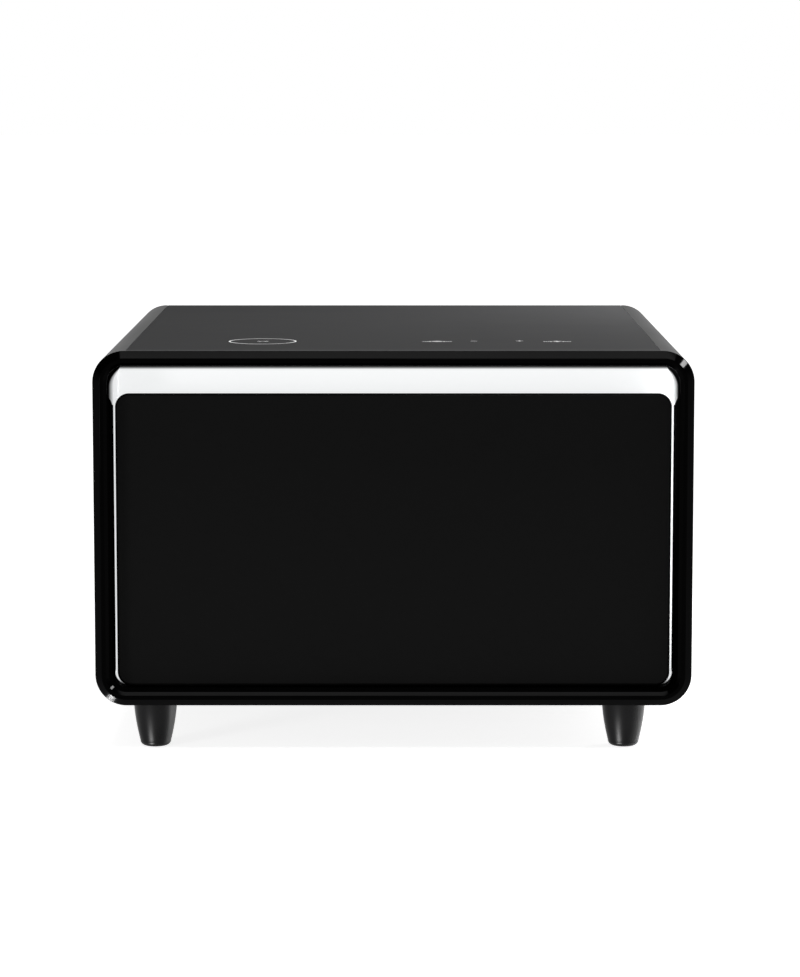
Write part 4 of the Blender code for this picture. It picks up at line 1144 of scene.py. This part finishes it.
@dataclass
class TouchPrint:
    """What is printed on the glass: the charging ring and the touch marks.

    Places are X and the depth behind the front plane. The rows of bars are each bar's place in
    its mark, its width and its length. The rises move a mark up from its ticks' middle.
    """

    thickness: float = 0.00005
    ring_place: Point = (-0.1458, 0.135)
    ring_radius: float = 0.0368
    ring_stroke: float = 0.0020
    ring_steps: int = 96
    cooling_place: Point = (0.0484, 0.132)
    cooling_rise: float = 0.0020
    cooling_ticks: float = 0.0078
    less_place: Point = (0.0894, 0.1380)
    more_place: Point = (0.1403, 0.1395)
    lamp_place: Point = (0.1820, 0.132)
    lamp_rise: float = 0.0022
    lamp_ticks: float = 0.0070
    bulb_radius: float = 0.0027
    bulb_stroke: float = 0.0017
    ray: Point = (0.0015, 0.0020)
    ray_reach: float = 0.0050
    ray_turn: int = 45
    arm: Point = (0.0018, 0.0054)
    arm_reach: float = 0.0034
    arm_turn: int = 60
    branch: Point = (0.0012, 0.0018)
    branch_root: float = 0.0033
    branch_reach: float = 0.0019
    branch_lean: float = 55.0
    tick: Point = (0.0017, 0.0038)
    tall_tick: Point = (0.0018, 0.0078)
    tick_pitch: float = 0.0025
    tick_count: int = 4
    battery: tuple[BarRow, ...] = (
        (0.0, -0.0022, 0.0114, 0.0005),
        (0.0, 0.0022, 0.0114, 0.0005),
        (-0.0054, 0.0, 0.0007, 0.0038),
        (0.0054, 0.0, 0.0007, 0.0038),
        (0.0064, 0.0, 0.0007, 0.0018),
        (-0.0032, 0.0, 0.0024, 0.0022),
        (0.0032, 0.0, 0.0024, 0.0022),
    )
    less: tuple[BarRow, ...] = ((0.0, 0.0, 0.0070, 0.0019),)
    more: tuple[BarRow, ...] = (
        (0.0, 0.0, 0.0080, 0.0016),
        (0.0, -0.0027, 0.0019, 0.0036),
        (0.0, 0.0027, 0.0019, 0.0036),
    )
    bulb_socket: tuple[BarRow, ...] = (
        (0.0, -0.0045, 0.0034, 0.0014),
        (0.0, -0.0063, 0.0024, 0.0012),
        (0.0, 0.0, 0.0022, 0.0016),
    )

    def build(self, bench: Bench) -> None:
        """Print the ring and the marks.

        Args:
            bench: makes the pieces.
        """
        cooling = self._snowflake() + self._ticks(self.cooling_ticks)
        prints = {
            "printed_charging_ring": self._ring(
                self.ring_place, self.ring_radius, self.ring_stroke
            ),
            "printed_charging_mark": self._marks(self.ring_place, self._bars(self.battery)),
            "printed_cooling_mark": self._marks(self.cooling_place, cooling),
            "printed_less_mark": self._marks(self.less_place, self._bars(self.less)),
            "printed_more_mark": self._marks(self.more_place, self._bars(self.more)),
            "printed_lamp_mark": self._lamp(),
        }
        for name, bm in prints.items():
            bench.piece(name, bm, PRINT_WHITE, "cabinet")

    def _ring(self, place: Point, radius: float, stroke: float) -> Mesh:
        """Return a printed ring about a place.

        Args:
            place: its centre, as X and the depth behind the front plane.
            radius: the radius of its stroke's middle.
            stroke: how wide its stroke is.

        Returns:
            Its mesh.
        """
        centre, half = (place[0], FRONT + place[1]), stroke / 2
        corners = ((half, 0.0), (half, self.thickness), (-half, self.thickness), (-half, 0.0))
        sections = []
        for out, up in corners:
            circle = arc(centre, radius + out, 0.0, 360.0, self.ring_steps)[:-1]
            sections.append(flat(circle, TOP + up))
        return loft(sections, closed=True)

    def _marks(self, place: Point, outlines: Iterable[Outline], bm: Mesh | None = None) -> Mesh:
        """Return printed patches about a place.

        Args:
            place: their middle, as X and the depth behind the front plane.
            outlines: the patches' outlines about it.
            bm: the mesh to add to, or None for a new one.

        Returns:
            The mesh.
        """
        bm = bm or bmesh.new()
        for outline in outlines:
            moved = [(place[0] + x, FRONT + place[1] + y) for x, y in outline]
            loft([flat(moved, TOP), flat(moved, TOP + self.thickness)], bm=bm)
        return bm

    @staticmethod
    def _bars(rows: Iterable[BarRow], rise: float = 0.0) -> list[Outline]:
        """Return the outlines of rows of bars, moved up by the rise."""
        return [bar(x, rise + y, width, length) for x, y, width, length in rows]

    @staticmethod
    def _towards(turn: float, reach: float) -> Point:
        """Return the point at a reach from the middle, turned by some degrees from straight up."""
        return (-math.sin(math.radians(turn)) * reach, math.cos(math.radians(turn)) * reach)

    def _ticks(self, start: float) -> list[Outline]:
        """Set out the level ticks on both sides of a mark.

        Args:
            start: how far the first ones stand from the mark's middle.

        Returns:
            The ticks' outlines.
        """
        sizes = [self.tall_tick] + [self.tick] * (self.tick_count - 1)
        places = [start + number * self.tick_pitch for number in range(self.tick_count)]
        return [bar(side * x, 0.0, *size) for side in (-1.0, 1.0) for x, size in zip(places, sizes)]

    def _snowflake(self) -> list[Outline]:
        """Draw a six-armed snowflake with two branches on each arm.

        Returns:
            The bars' outlines.
        """
        outlines, rise = [], self.cooling_rise
        for turn in range(0, 360, self.arm_turn):
            x, y = self._towards(turn, self.arm_reach)
            outlines.append(bar(x, rise + y, *self.arm, turn))
            root = self._towards(turn, self.branch_root)
            for lean in (-self.branch_lean, self.branch_lean):
                tip = self._towards(turn + lean, self.branch_reach)
                x, y = root[0] + tip[0], root[1] + tip[1]
                outlines.append(bar(x, rise + y, *self.branch, turn + lean))
        return outlines

    def _lamp(self) -> Mesh:
        """Print a light bulb with rays, and ticks beside it.

        Returns:
            The mark's mesh.
        """
        x, depth = self.lamp_place
        rise = self.lamp_rise
        bulb = self._ring((x, depth + rise), self.bulb_radius, self.bulb_stroke)
        outlines = self._bars(self.bulb_socket, rise)
        for turn in range(-90, 91, self.ray_turn):
            along, up = self._towards(turn, self.ray_reach)
            outlines.append(bar(along, rise + up, *self.ray, turn))
        return self._marks(self.lamp_place, outlines + self._ticks(self.lamp_ticks), bulb)


@dataclass
class Drawer:
    """The drawer's front, its seal, its inner panel and its bin."""

    setback: float = 0.027
    half: float = 0.3023
    low: float = 0.0729
    high: float = 0.3944
    radius: float = 0.015
    glass: float = 0.004
    bevel: float = 0.0019
    bevel_margin: float = 0.003
    bevel_radii: Point = (0.0008, 0.0004)
    bevel_steps: int = 5
    bevel_angle: float = 60.0
    core_edge: float = 0.0006
    lip_back: float = 0.051
    lip_fall: float = 0.0023
    lip_front_inset: float = 0.0004
    lip_back_inset: float = 0.0005
    lip_shares: tuple[float, ...] = (0.02, 0.5, 0.98)
    lip_slope: float = 0.7
    skirt_back: float = 0.0538
    skirt_wall: float = 0.0016
    skirt_lap: float = 0.0002
    seal_half: float = 0.290
    seal_low: float = 0.0839
    seal_high: float = 0.3839
    seal_front: float = 0.0697
    seal_width: float = 0.011
    seal_radius: float = 0.014
    seal_profile: tuple[Point, ...] = (
        (0.0, 0.0),
        (0.0, 0.0008),
        (0.0016, 0.0012),
        (0.0016, 0.0016),
        (0.0003, 0.0021),
        (0.0003, 0.0035),
        (0.0009, 0.0040),
    )
    seal_steps: int = 8
    liner_half: float = 0.2725
    liner_low: float = 0.1014
    liner_high: float = 0.3664
    liner_back: float = 0.0777
    liner_radius: float = 0.024
    field_radius: float = 0.010
    field_margin: float = 0.016
    field_recess: float = 0.0030
    field_slope: float = 0.003
    field_reach: float = 0.02
    field_radii: tuple[float, ...] = (0.0025, 0.0012, 0.0015)
    field_steps: int = 6
    field_start: float = 0.01
    bin_half: float = 0.2655
    bin_front: float = 0.0780
    bin_back: float = 0.4680
    bin_low: float = 0.1004
    bin_high: float = 0.2854
    bin_wall: float = 0.0025
    bin_radius: float = 0.020
    bin_floor_radius: float = 0.009
    bin_floor_steps: int = 6
    rim: float = 0.004
    rim_height: float = 0.003
    rim_roll: float = 0.0010
    rim_flare: float = 0.0003
    rim_edge: float = 0.0008
    corner_steps: int = 12

    def outline(self, inset: float, fall: float = 0.0) -> Outline:
        """Return the front's outline, moved inwards, its top lowered by the fall."""
        high = self.high - inset - fall
        return rounded(self.half - inset, self.low + inset, high, self.radius - inset)

    def build(self, bench: Bench) -> None:
        """Build the front, the seal, the inner panel and the bin, and dress the core.

        Args:
            bench: makes the pieces.
        """
        moulded = {
            "drawer_seal": (self._seal(), RUBBER, "drawer_gasket"),
            "drawer_liner_panel": (self._liner_panel(), WHITE_PLASTIC, "drawer_inner_panel"),
            "drawer_bin_moulded": (self._bin(), BIN_PLASTIC, "drawer_bin"),
        }
        bench.piece(
            "drawer_glass_bevelled", self._glass(), DOOR_GLASS, "drawer",
            ["drawer_front_glass"], self.bevel_angle,
        )
        made = bench.piece(
            "drawer_carrier", self._carrier(), CARRIER_BLACK, "drawer", ["drawer_front_carrier"]
        )
        made.data.materials.append(FRAME_GLOSS.material(bench.effects))
        for face in made.data.polygons:
            face.material_index = int(face.normal.z > self.lip_slope)
        bench.dress("drawer_front_core", WHITE_PLASTIC, self.core_edge)
        for name, (bm, finish, node) in moulded.items():
            bench.piece(name, bm, finish, "drawer", [node])

    def _glass(self) -> Mesh:
        """Make the glass panel with its bevel blended into the face.

        Returns:
            The panel's mesh.
        """
        bevel = self.bevel
        path = [(bevel + self.bevel_margin, 0.0), (bevel, 0.0), (0.0, bevel), (0.0, self.glass)]
        profile = fillet(path, self.bevel_radii, self.bevel_steps)
        levels = [(self.outline(inset), self.setback + depth) for inset, depth in profile]
        return loft([upright(outline, depth) for outline, depth in levels])

    def _carrier(self) -> Mesh:
        """Make the carrier, whose top edge is the grip.

        Returns:
            The carrier's mesh.
        """
        front = self.setback + self.glass + GAP
        span = self.lip_back - front
        sections = [upright(self.outline(self.lip_front_inset), front)]
        for share in self.lip_shares:
            sections.append(upright(self.outline(0.0, self.lip_fall * share), front + span * share))
        back = self.outline(self.lip_back_inset, self.lip_fall)
        sections.append(upright(back, self.lip_back))
        skirt, depths = self._skirt(), (self.lip_back - self.skirt_lap, self.skirt_back)
        return loft([upright(skirt, depth) for depth in depths], bm=loft(sections))

    def _skirt(self) -> Outline:
        """Trace the U of the carrier's skirt, which goes round the core's sides and bottom.

        Returns:
            The skirt's outline.
        """
        centre = (self.half - self.radius, self.low + self.radius)
        sides = []
        for inset in (0.0, self.skirt_wall):
            corner = arc(centre, self.radius - inset, 0.0, -90.0)
            sides.append([(self.half - inset, self.high - self.radius)] + corner)
        return folded(*sides)

    def _seal(self) -> Mesh:
        """Make the magnetic seal, a bellows with a flat pad.

        Returns:
            The seal's mesh.
        """
        profile = list(self.seal_profile)
        profile += [(self.seal_width - inset, depth) for inset, depth in reversed(profile)]
        sections = []
        for inset, depth in profile:
            low, high = self.seal_low + inset, self.seal_high - inset
            radius = self.seal_radius - inset
            outline = rounded(self.seal_half - inset, low, high, radius, self.seal_steps)
            sections.append(upright(outline, self.seal_front + depth))
        return loft(sections, closed=True)

    def _liner_panel(self) -> Mesh:
        """Make the drawer's inner panel with its sunk field.

        Returns:
            The panel's mesh.
        """
        back, margin = self.liner_back, self.field_margin
        sunk = back - self.field_recess
        path = [(0.0, self.seal_front), (0.0, back), (margin, back)]
        path += [(margin + self.field_slope, sunk), (margin + self.field_reach, sunk)]
        sections = []
        for inset, depth in fillet(path, self.field_radii, self.field_steps):
            radius = self.liner_radius - inset
            if inset > self.field_start:
                radius = max(self.field_radius, self.liner_radius - inset / 2)
            low, high = self.liner_low + inset, self.liner_high - inset
            outline = rounded(self.liner_half - inset, low, high, radius, self.corner_steps)
            sections.append(upright(outline, depth))
        return loft(sections)

    def _bin(self) -> Mesh:
        """Mould the bin: rounded floor, upright walls and a rolled rim.

        Returns:
            The bin's mesh.
        """
        wall, sweep, high, rim = self.bin_wall, self.bin_floor_radius, self.bin_high, self.rim
        roll, flare, edge, under = self.rim_roll, self.rim_flare, self.rim_edge, self.rim_height
        steps = self.bin_floor_steps
        turns = [math.radians(90.0 * step / steps) for step in range(steps + 1)]
        turned = [(sweep * (1.0 - math.sin(a)), sweep * (1.0 - math.cos(a))) for a in turns]
        profile = [(wall + across, 0.0, self.bin_low + wall + up) for across, up in turned]
        profile += [(wall, 0.0, high - roll), (wall + flare, 0.0, high - flare)]
        profile += [(wall - roll, 0.0, high), (edge, rim, high)]
        profile += [(0.0, rim, high - edge), (0.0, rim, high - under), (0.0, 0.0, high - under)]
        profile += [(across, 0.0, self.bin_low + up) for up, across in turned]
        sections = []
        for inset, out, height in profile:
            front, back = FRONT + self.bin_front + inset, FRONT + self.bin_back - inset + out
            half, radius = self.bin_half - inset + out, self.bin_radius - inset
            outline = rounded(half, front, back, radius, self.corner_steps)
            sections.append(flat(outline, height))
        return loft(sections)


@dataclass
class Feet:
    """The four turned feet and their pads."""

    height: float = 0.0544
    radius: float = 0.024
    top_edge: float = 0.0006
    taper_share: float = 0.352
    taper_power: float = 1.71
    taper_rings: int = 20
    foot_edge: float = 0.006
    edge_turn: int = 10
    pad_radius: float = 0.0078
    pad_stand: float = 0.0008
    pad_recess: float = 0.0023
    steps: int = 72
    labels: tuple[str, ...] = ("front_left", "front_right", "rear_left", "rear_right")

    def build(self, bench: Bench) -> None:
        """Build the feet and dress the pads.

        Args:
            bench: makes the pieces.
        """
        for label in self.labels:
            low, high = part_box(f"foot_{label}")
            centre = ((low.x + high.x) / 2, (low.y + high.y) / 2, 0.0)
            foot = lathe(self._profile(), self.steps, centre)
            bench.piece(f"turned_foot_{label}", foot, FOOT_BLACK, "cabinet", [f"foot_{label}"])
            bench.dress(f"foot_pad_{label}", RUBBER)

    def _profile(self) -> list[Point]:
        """Trace the foot's profile.

        Returns:
            Its points, from the top to the pad's recess.
        """
        top = self.height - GAP
        length = top - self.pad_stand
        profile = [(0.0, top), (self.radius - self.top_edge, top)]
        for ring in range(1, self.taper_rings + 1):
            along = (length - self.foot_edge) * ring / self.taper_rings
            share = 1.0 - self.taper_share * (along / length) ** self.taper_power
            profile.append((self.radius * share, top - along))
        side = profile[-1][0]
        for angle in range(self.edge_turn, 91, self.edge_turn):
            turn = math.radians(angle)
            radius = side - self.foot_edge * (1.0 - math.cos(turn))
            profile.append((radius, self.pad_stand + self.foot_edge * (1.0 - math.sin(turn))))
        recess, deep = self.pad_radius + GAP, self.pad_recess
        return profile + [(recess, self.pad_stand), (recess, deep), (0.0, deep)]


@dataclass
class Rear:
    """The back of the cabinet: panel, screws, vent grille and power inlet."""

    face: float = 0.3482
    lip: float = 0.0015
    lip_edge: float = 0.0005
    lip_reach: float = 0.006
    vent: Window = Window(0.050, 0.1579, 0.260, 0.110, 0.003)
    vent_inner: float = 0.3433
    columns: int = 2
    rows: int = 8
    vent_bar: float = 0.010
    slot_height: float = 0.006
    slot_flat: float = 0.0001
    slot_edge: float = 0.0006
    inlet: Window = Window(0.235, 0.1154, 0.030, 0.022, 0.0015)
    inlet_lip_reach: float = 0.004
    inlet_inner: float = 0.3252
    mouth: KeyedWindow = KeyedWindow(0.235, 0.1154, 0.0244, 0.0164, 0.0015)
    mouth_floor: float = 0.3312
    mouth_edge: Point = (0.0008, 0.0012)
    contact: Place = (0.0025, 0.005, 0.010)
    contact_radius: float = 0.0008
    contact_steps: int = 3
    contact_root: float = 0.001
    contact_tip: Point = (0.0006, 0.0008)
    contact_pitch: float = 0.007
    contact_rises: tuple[float, ...] = (-0.001, 0.002, -0.001)
    screw_count: int = 6
    screw_steps: int = 48
    shank_radius: float = 0.0018
    shank_length: float = 0.009
    head_height: float = 0.0016
    head_radius: float = 0.0035
    head_sides: tuple[Point, ...] = ((0.0035, 0.0006), (0.0031, 0.0011))
    head_tops: tuple[Point, ...] = ((0.0025, 0.0002), (0.0018, 0.0))
    recess_core: float = 0.0005
    recess_arm: float = 0.0011
    recess_power: int = 6
    recess_levels: tuple[Point, ...] = ((1.0, 0.0), (0.8, 0.0010))

    def build(self, bench: Bench) -> None:
        """Build the grille, the inlet and the screws, and dress the panel.

        Args:
            bench: makes the pieces.
        """
        grille, socket = self._grille(), self._socket()
        bench.dress("rear_panel", SHELL_PAINT)
        bench.piece("vent_grille_slotted", grille, BLACK_PLASTIC, "cabinet", ["rear_vent_grille"])
        bench.piece("inlet_socket", socket, BLACK_PLASTIC, "cabinet", ["power_inlet"])
        bench.piece("inlet_contacts", self._contacts(), CONTACT_METAL, "cabinet")
        for number in range(1, self.screw_count + 1):
            name = f"rear_screw_{number}"
            low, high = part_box(name)
            head = self._screw((low.x + high.x) / 2, (low.z + high.z) / 2)
            bench.piece(f"pan_head_screw_{number}", head, ZINC_STEEL, "cabinet", [name])

    @property
    def outside(self) -> float:
        """Return the Y of the outer face of what is set in the panel."""
        return self.face + GAP + self.lip

    def _lip_levels(self, reach: float, inner: float) -> list[Point]:
        """Set out the levels of a plug with a lip on the panel.

        Args:
            reach: how far the lip reaches beyond the opening.
            inner: the Y of the plug's inner end.

        Returns:
            The levels, as the growth and the Y of each, from inside to outside.
        """
        seat, outside, edge = self.face + GAP, self.outside, self.lip_edge
        levels = [(-GAP, inner), (-GAP, seat), (reach, seat), (reach, outside - edge)]
        eased = edge * EASE_SHARE
        return levels + [(reach - eased, outside - eased), (reach - edge, outside)]

    def _grille(self) -> Mesh:
        """Make the grille with its columns of round-ended slots.

        Returns:
            The grille's mesh.
        """
        outside, edge, inner = self.outside, self.slot_edge, self.vent_inner
        eased = edge * EASE_SHARE
        levels = [(0.0, inner), (0.0, outside - edge), (eased, outside - eased), (edge, outside)]
        bm = bmesh.new()
        walls = [band(bm, self.vent, self._lip_levels(self.lip_reach, inner))]
        width = (self.vent.width - self.vent_bar * (self.columns + 1)) / self.columns
        pitch = (self.vent.height - self.vent_bar) / self.rows
        radius = self.slot_height / 2 - self.slot_flat
        for column in range(self.columns):
            x = self.vent.x + (column - (self.columns - 1) / 2) * (width + self.vent_bar)
            for row in range(self.rows):
                z = self.vent.z + (row - (self.rows - 1) / 2) * pitch
                walls.append(band(bm, Window(x, z, width, self.slot_height, radius), levels))
        cap(bm, *[rings[0] for rings in walls])
        cap(bm, *[rings[-1] for rings in walls])
        return bm

    def _socket(self) -> Mesh:
        """Make the inlet's body with its keyed mouth.

        Returns:
            The body's mesh.
        """
        out, deep = self.mouth_edge
        levels = [(0.0, self.mouth_floor), (0.0, self.outside - deep), (out, self.outside)]
        bm = bmesh.new()
        body = band(bm, self.inlet, self._lip_levels(self.inlet_lip_reach, self.inlet_inner))
        mouth = band(bm, self.mouth, levels)
        cap(bm, body[0])
        cap(bm, mouth[0])
        cap(bm, body[-1], mouth[-1])
        return bm

    def _contacts(self) -> Mesh:
        """Make the inlet's three blades.

        Returns:
            The blades' mesh.
        """
        width, height, length = self.contact
        root, end = self.mouth_floor - self.contact_root, self.mouth_floor + length
        inset, taper = self.contact_tip
        bm = bmesh.new()
        for side, rise in zip((-1, 0, 1), self.contact_rises):
            x, z = self.inlet.x + side * self.contact_pitch, self.inlet.z + rise
            blade = Window(x, z, width, height, self.contact_radius, self.contact_steps)
            rings = band(bm, blade, [(0.0, root), (0.0, end - taper), (-inset, end)])
            cap(bm, rings[0])
            cap(bm, rings[-1])
        return bm

    def _screw(self, x: float, z: float) -> Mesh:
        """Return a pan-head screw with a cross recess.

        Args:
            x: where it stands across the panel.
            z: how high it stands.

        Returns:
            Its mesh.
        """
        seat, top = self.face + GAP, self.face + GAP + self.head_height
        rings = [(self.shank_radius, seat - self.shank_length), (self.shank_radius, seat)]
        rings += [(self.head_radius, seat)] + [(r, seat + up) for r, up in self.head_sides]
        rings += [(r, top - down) for r, down in self.head_tops]
        turns = [2.0 * math.pi * step / self.screw_steps for step in range(self.screw_steps)]
        reaches = [([radius] * self.screw_steps, y) for radius, y in rings]
        for scale, sink in self.recess_levels:
            arms = [abs(math.cos(2.0 * turn)) ** self.recess_power for turn in turns]
            cross = [scale * (self.recess_core + self.recess_arm * arm) for arm in arms]
            reaches.append((cross, top - sink))
        sections = []
        for radii, y in reaches:
            circle = zip(radii, turns)
            sections.append([(x + r * math.cos(a), y, z + r * math.sin(a)) for r, a in circle])
        return loft(sections)


DressRow = tuple[Finish, float, tuple[str, ...]]


@dataclass
class CarriedOver:
    """A sub-assembly whose nodes keep their meshes, in rows of finish, edge radius and names."""

    rows: tuple[DressRow, ...] = ()

    def build(self, bench: Bench) -> None:
        """Dress every node.

        Args:
            bench: dresses the nodes.
        """
        for finish, edge, names in self.rows:
            for name in names:
                bench.dress(name, finish, edge)


@dataclass
class LitSurround(CarriedOver):
    """The opal diffuser round the opening, its channel and its tape."""

    rows: tuple[DressRow, ...] = (
        (OPAL_LIT, 0.0, ("light_diffuser",)),
        (WHITE_PLASTIC, 0.0, ("light_housing",)),
        (OPAL, 0.0, ("led_strip",)),
    )


@dataclass
class Runners(CarriedOver):
    """The three nested members on each side of the drawer."""

    rows: tuple[DressRow, ...] = tuple(
        (ZINC_STEEL, 0.0003, (f"{member}_rail_left", f"{member}_rail_right"))
        for member in ("cabinet", "middle", "drawer")
    )


@dataclass
class Cavity(CarriedOver):
    """The liner and what is fixed in the cold space."""

    rows: tuple[DressRow, ...] = (
        (WHITE_PLASTIC, 0.0, ("inner_liner",)),
        (FOAM, 0.0, ("insulation_foam",)),
        (ALUMINIUM, 0.0, ("evaporator_plate",)),
        (OPAL, 0.002, ("interior_lamp",)),
        (WHITE_PLASTIC, 0.0008, ("temperature_probe",)),
    )


@dataclass
class Machine(CarriedOver):
    """The cooling machine behind the cavity."""

    rows: tuple[DressRow, ...] = (
        (ZINC_STEEL, 0.0, ("base_plate",)),
        (MACHINE_BLACK, 0.0, ("compressor",)),
        (ALUMINIUM, 0.0, ("condenser",)),
        (BLACK_PLASTIC, 0.0, ("fan_housing", "fan_rotor")),
        (COPPER, 0.0, ("filter_dryer", "discharge_pipe", "liquid_pipe", "suction_pipe")),
        (BOARD, 0.0, ("control_board",)),
        (RUBBER, 0.0, tuple(f"compressor_mount_{number}" for number in range(1, 5))),
    )


@dataclass(frozen=True)
class Lamp:
    """One soft studio lamp, pointed at a spot.

    If it names pieces, it lights only those. With below set, it hangs under the floor, and only
    the pieces that it lights cast its shadow.
    """

    name: str
    place: Place
    target: Place
    size: Point
    radiance: float
    lights: tuple[str, ...] = ()
    below: bool = False

    def build(self) -> None:
        """Hang the lamp and link it to what it lights."""
        data = bpy.data.lights.new(self.name, "AREA")
        data.shape = "RECTANGLE"
        data.size, data.size_y = self.size
        data.energy = self.radiance * math.pi * self.size[0] * self.size[1]
        lamp = bpy.data.objects.new(self.name, data)
        lamp.location = self.place
        lamp.visible_camera = False
        aim = Vector(self.target) - Vector(self.place)
        lamp.rotation_mode = "QUATERNION"
        lamp.rotation_quaternion = aim.to_track_quat("-Z", "Y")
        bpy.context.scene.collection.objects.link(lamp)
        if self.lights:
            lit = bpy.data.collections.new(f"{self.name}_lights")
            for name in self.lights:
                lit.objects.link(bpy.data.objects[name])
            lamp.light_linking.receiver_collection = lit
            if self.below:
                lamp.light_linking.blocker_collection = lit


@dataclass
class Studio:
    """The pale floor, the white background, the soft lamps and the camera."""

    camera_place: Place = (0.00709, -4.05464, 0.75533)
    camera_pitch: float = 7.10
    lens: float = 127.32
    sensor: float = 36.0
    sight: float = 100.0
    floor_reach: float = 30.0
    floor_colour: Colour = (0.80, 0.80, 0.80)
    floor_roughness: float = 0.9
    floor_specular: float = 0.1
    floor_glow: float = 0.84
    floor_fade: Point = (0.8, 3.0)
    ambient: float = 0.25
    sky_fade: Point = (0.10, 0.35)
    lamps: tuple[Lamp, ...] = (
        Lamp("top_softbox", (0.45, -0.675, 2.60), (0.45, -0.40, 0.40), (2.4, 0.42), 11.5),
        Lamp("front_fill", (0.25, -1.35, 1.45), (0.0, -0.33, 0.30), (0.5, 0.25), 20.0),
        Lamp("left_key", (-1.5, -1.75, 0.30), (-0.1, -0.3, 0.05), (0.4, 0.4), 20.0),
        Lamp("right_strip", (1.15, 0.35, 0.60), (0.2, 0.0, 0.30), (0.4, 0.8), 7.0),
        Lamp(
            "rear_glow", (0.75, 0.45, 0.62), (0.20, 0.0, 0.44), (0.4, 0.3), 78.0,
            lights=("top_glass_polished",),
        ),
        Lamp(
            "right_spark", (1.91, -0.60, 1.65), (0.32, -0.35, 0.44), (0.62, 0.38), 290.0,
            lights=("front_frame_cast",),
        ),
        Lamp(
            "low_spark", (-2.38, 0.38, -3.24), (-0.3, -0.35, 0.07), (0.7, 0.7), 2000.0,
            lights=("front_frame_cast",), below=True,
        ),
        Lamp(
            "foot_key", (-3.44, -4.78, -5.64), (0.0, -0.29, 0.02), (2.2, 1.8), 190.0,
            lights=FRONT_FEET, below=True,
        ),
        Lamp(
            "foot_rim", (0.70, -0.03, -0.27), (0.25, -0.29, 0.03), (0.7, 0.5), 36.0,
            lights=FRONT_FEET, below=True,
        ),
    )

    def build(self) -> None:
        """Set up everything round the table."""
        self._floor()
        self._world()
        for lamp in self.lamps:
            lamp.build()
        self._camera()

    @staticmethod
    def _backdrop_share(wiring: Wiring) -> Socket:
        """Tell the rays that see the background: camera, glossy and transmission rays.

        Args:
            wiring: the wiring of the floor's or the world's tree.

        Returns:
            The socket, 1 for those rays and 0 for others.
        """
        path = wiring.node("ShaderNodeLightPath").outputs
        seen = wiring.maths("ADD", path["Is Camera Ray"], path["Is Glossy Ray"], clamp=True)
        return wiring.maths("ADD", seen, path["Is Transmission Ray"], clamp=True)

    def _floor(self) -> None:
        """Lay a pale floor that keeps the table's shadow."""
        reach = self.floor_reach
        corners = [(-reach, -reach, 0.0), (reach, -reach, 0.0), (reach, reach, 0.0)]
        mesh = bpy.data.meshes.new("studio_floor")
        mesh.from_pydata(corners + [(-reach, reach, 0.0)], [], [(0, 1, 2, 3)])
        floor = bpy.data.objects.new("studio_floor", mesh)
        bpy.context.scene.collection.objects.link(floor)
        material = bpy.data.materials.new("studio_floor")
        material.use_nodes = True
        wiring = Wiring(material.node_tree)
        distance = wiring.node("ShaderNodeVectorMath", {"operation": "LENGTH"})
        wiring.feed(distance, 0, wiring.node("ShaderNodeTexCoord").outputs["Object"])
        white = wiring.ramp(distance.outputs["Value"], self.floor_fade, (self.floor_glow, 1.0))
        glow = wiring.maths("MULTIPLY", self._backdrop_share(wiring), white)
        inputs = {
            "Base Color": (*self.floor_colour, 1.0),
            "Roughness": self.floor_roughness,
            "Specular IOR Level": self.floor_specular,
            "Emission Color": WHITE,
            "Emission Strength": glow,
        }
        wiring.feed_all(material.node_tree.nodes["Principled BSDF"], inputs.items())
        mesh.materials.append(material)

    def _world(self) -> None:
        """Make the world white where it is seen and plain where it lights."""
        world = bpy.data.worlds.new("studio_world")
        world.use_nodes = True
        bpy.context.scene.world = world
        wiring = Wiring(world.node_tree)
        ambient = world.node_tree.nodes["Background"]
        wiring.feed_all(ambient, (("Color", WHITE), ("Strength", self.ambient)))
        white = wiring.node("ShaderNodeBackground", Color=WHITE, Strength=1.0)
        direction = wiring.node("ShaderNodeTexCoord").outputs["Generated"]
        height = wiring.node("ShaderNodeSeparateXYZ", Vector=direction).outputs["Z"]
        low = wiring.ramp(height, self.sky_fade, (1.0, 0.0))
        share = wiring.maths("MULTIPLY", self._backdrop_share(wiring), low)
        mixed = wiring.node("ShaderNodeMixShader")
        wiring.feed_all(mixed, enumerate((share, ambient.outputs[0], white.outputs[0])))
        wiring.feed(world.node_tree.nodes["World Output"], "Surface", mixed.outputs[0])

    def _camera(self) -> None:
        """Place the camera at the photograph's viewpoint."""
        data = bpy.data.cameras.new("studio_camera")
        data.lens = self.lens
        data.sensor_width = self.sensor
        data.clip_end = self.sight
        camera = bpy.data.objects.new("studio_camera", data)
        camera.location = self.camera_place
        camera.rotation_euler = (math.radians(90.0 - self.camera_pitch), 0.0, 0.0)
        bpy.context.scene.collection.objects.link(camera)
        bpy.context.scene.camera = camera


def main() -> None:
    """Load the frame, build and dress every sub-assembly, and set up the studio."""
    logging.basicConfig(level=logging.INFO, format="%(message)s")
    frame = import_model()
    bench = Bench(frame, Effects())
    front = (FrontFrame(), Cabinet(), TouchPrint(), LitSurround(), Drawer())
    for assembly in (*front, Runners(), Cavity(), Feet(), Rear(), Machine()):
        assembly.build(bench)
        LOG.info("%s: done", type(assembly).__name__)
    Studio().build()
    view = bpy.context.scene.view_settings
    view.view_transform = "Standard"


if __name__ == "__main__":
    main()
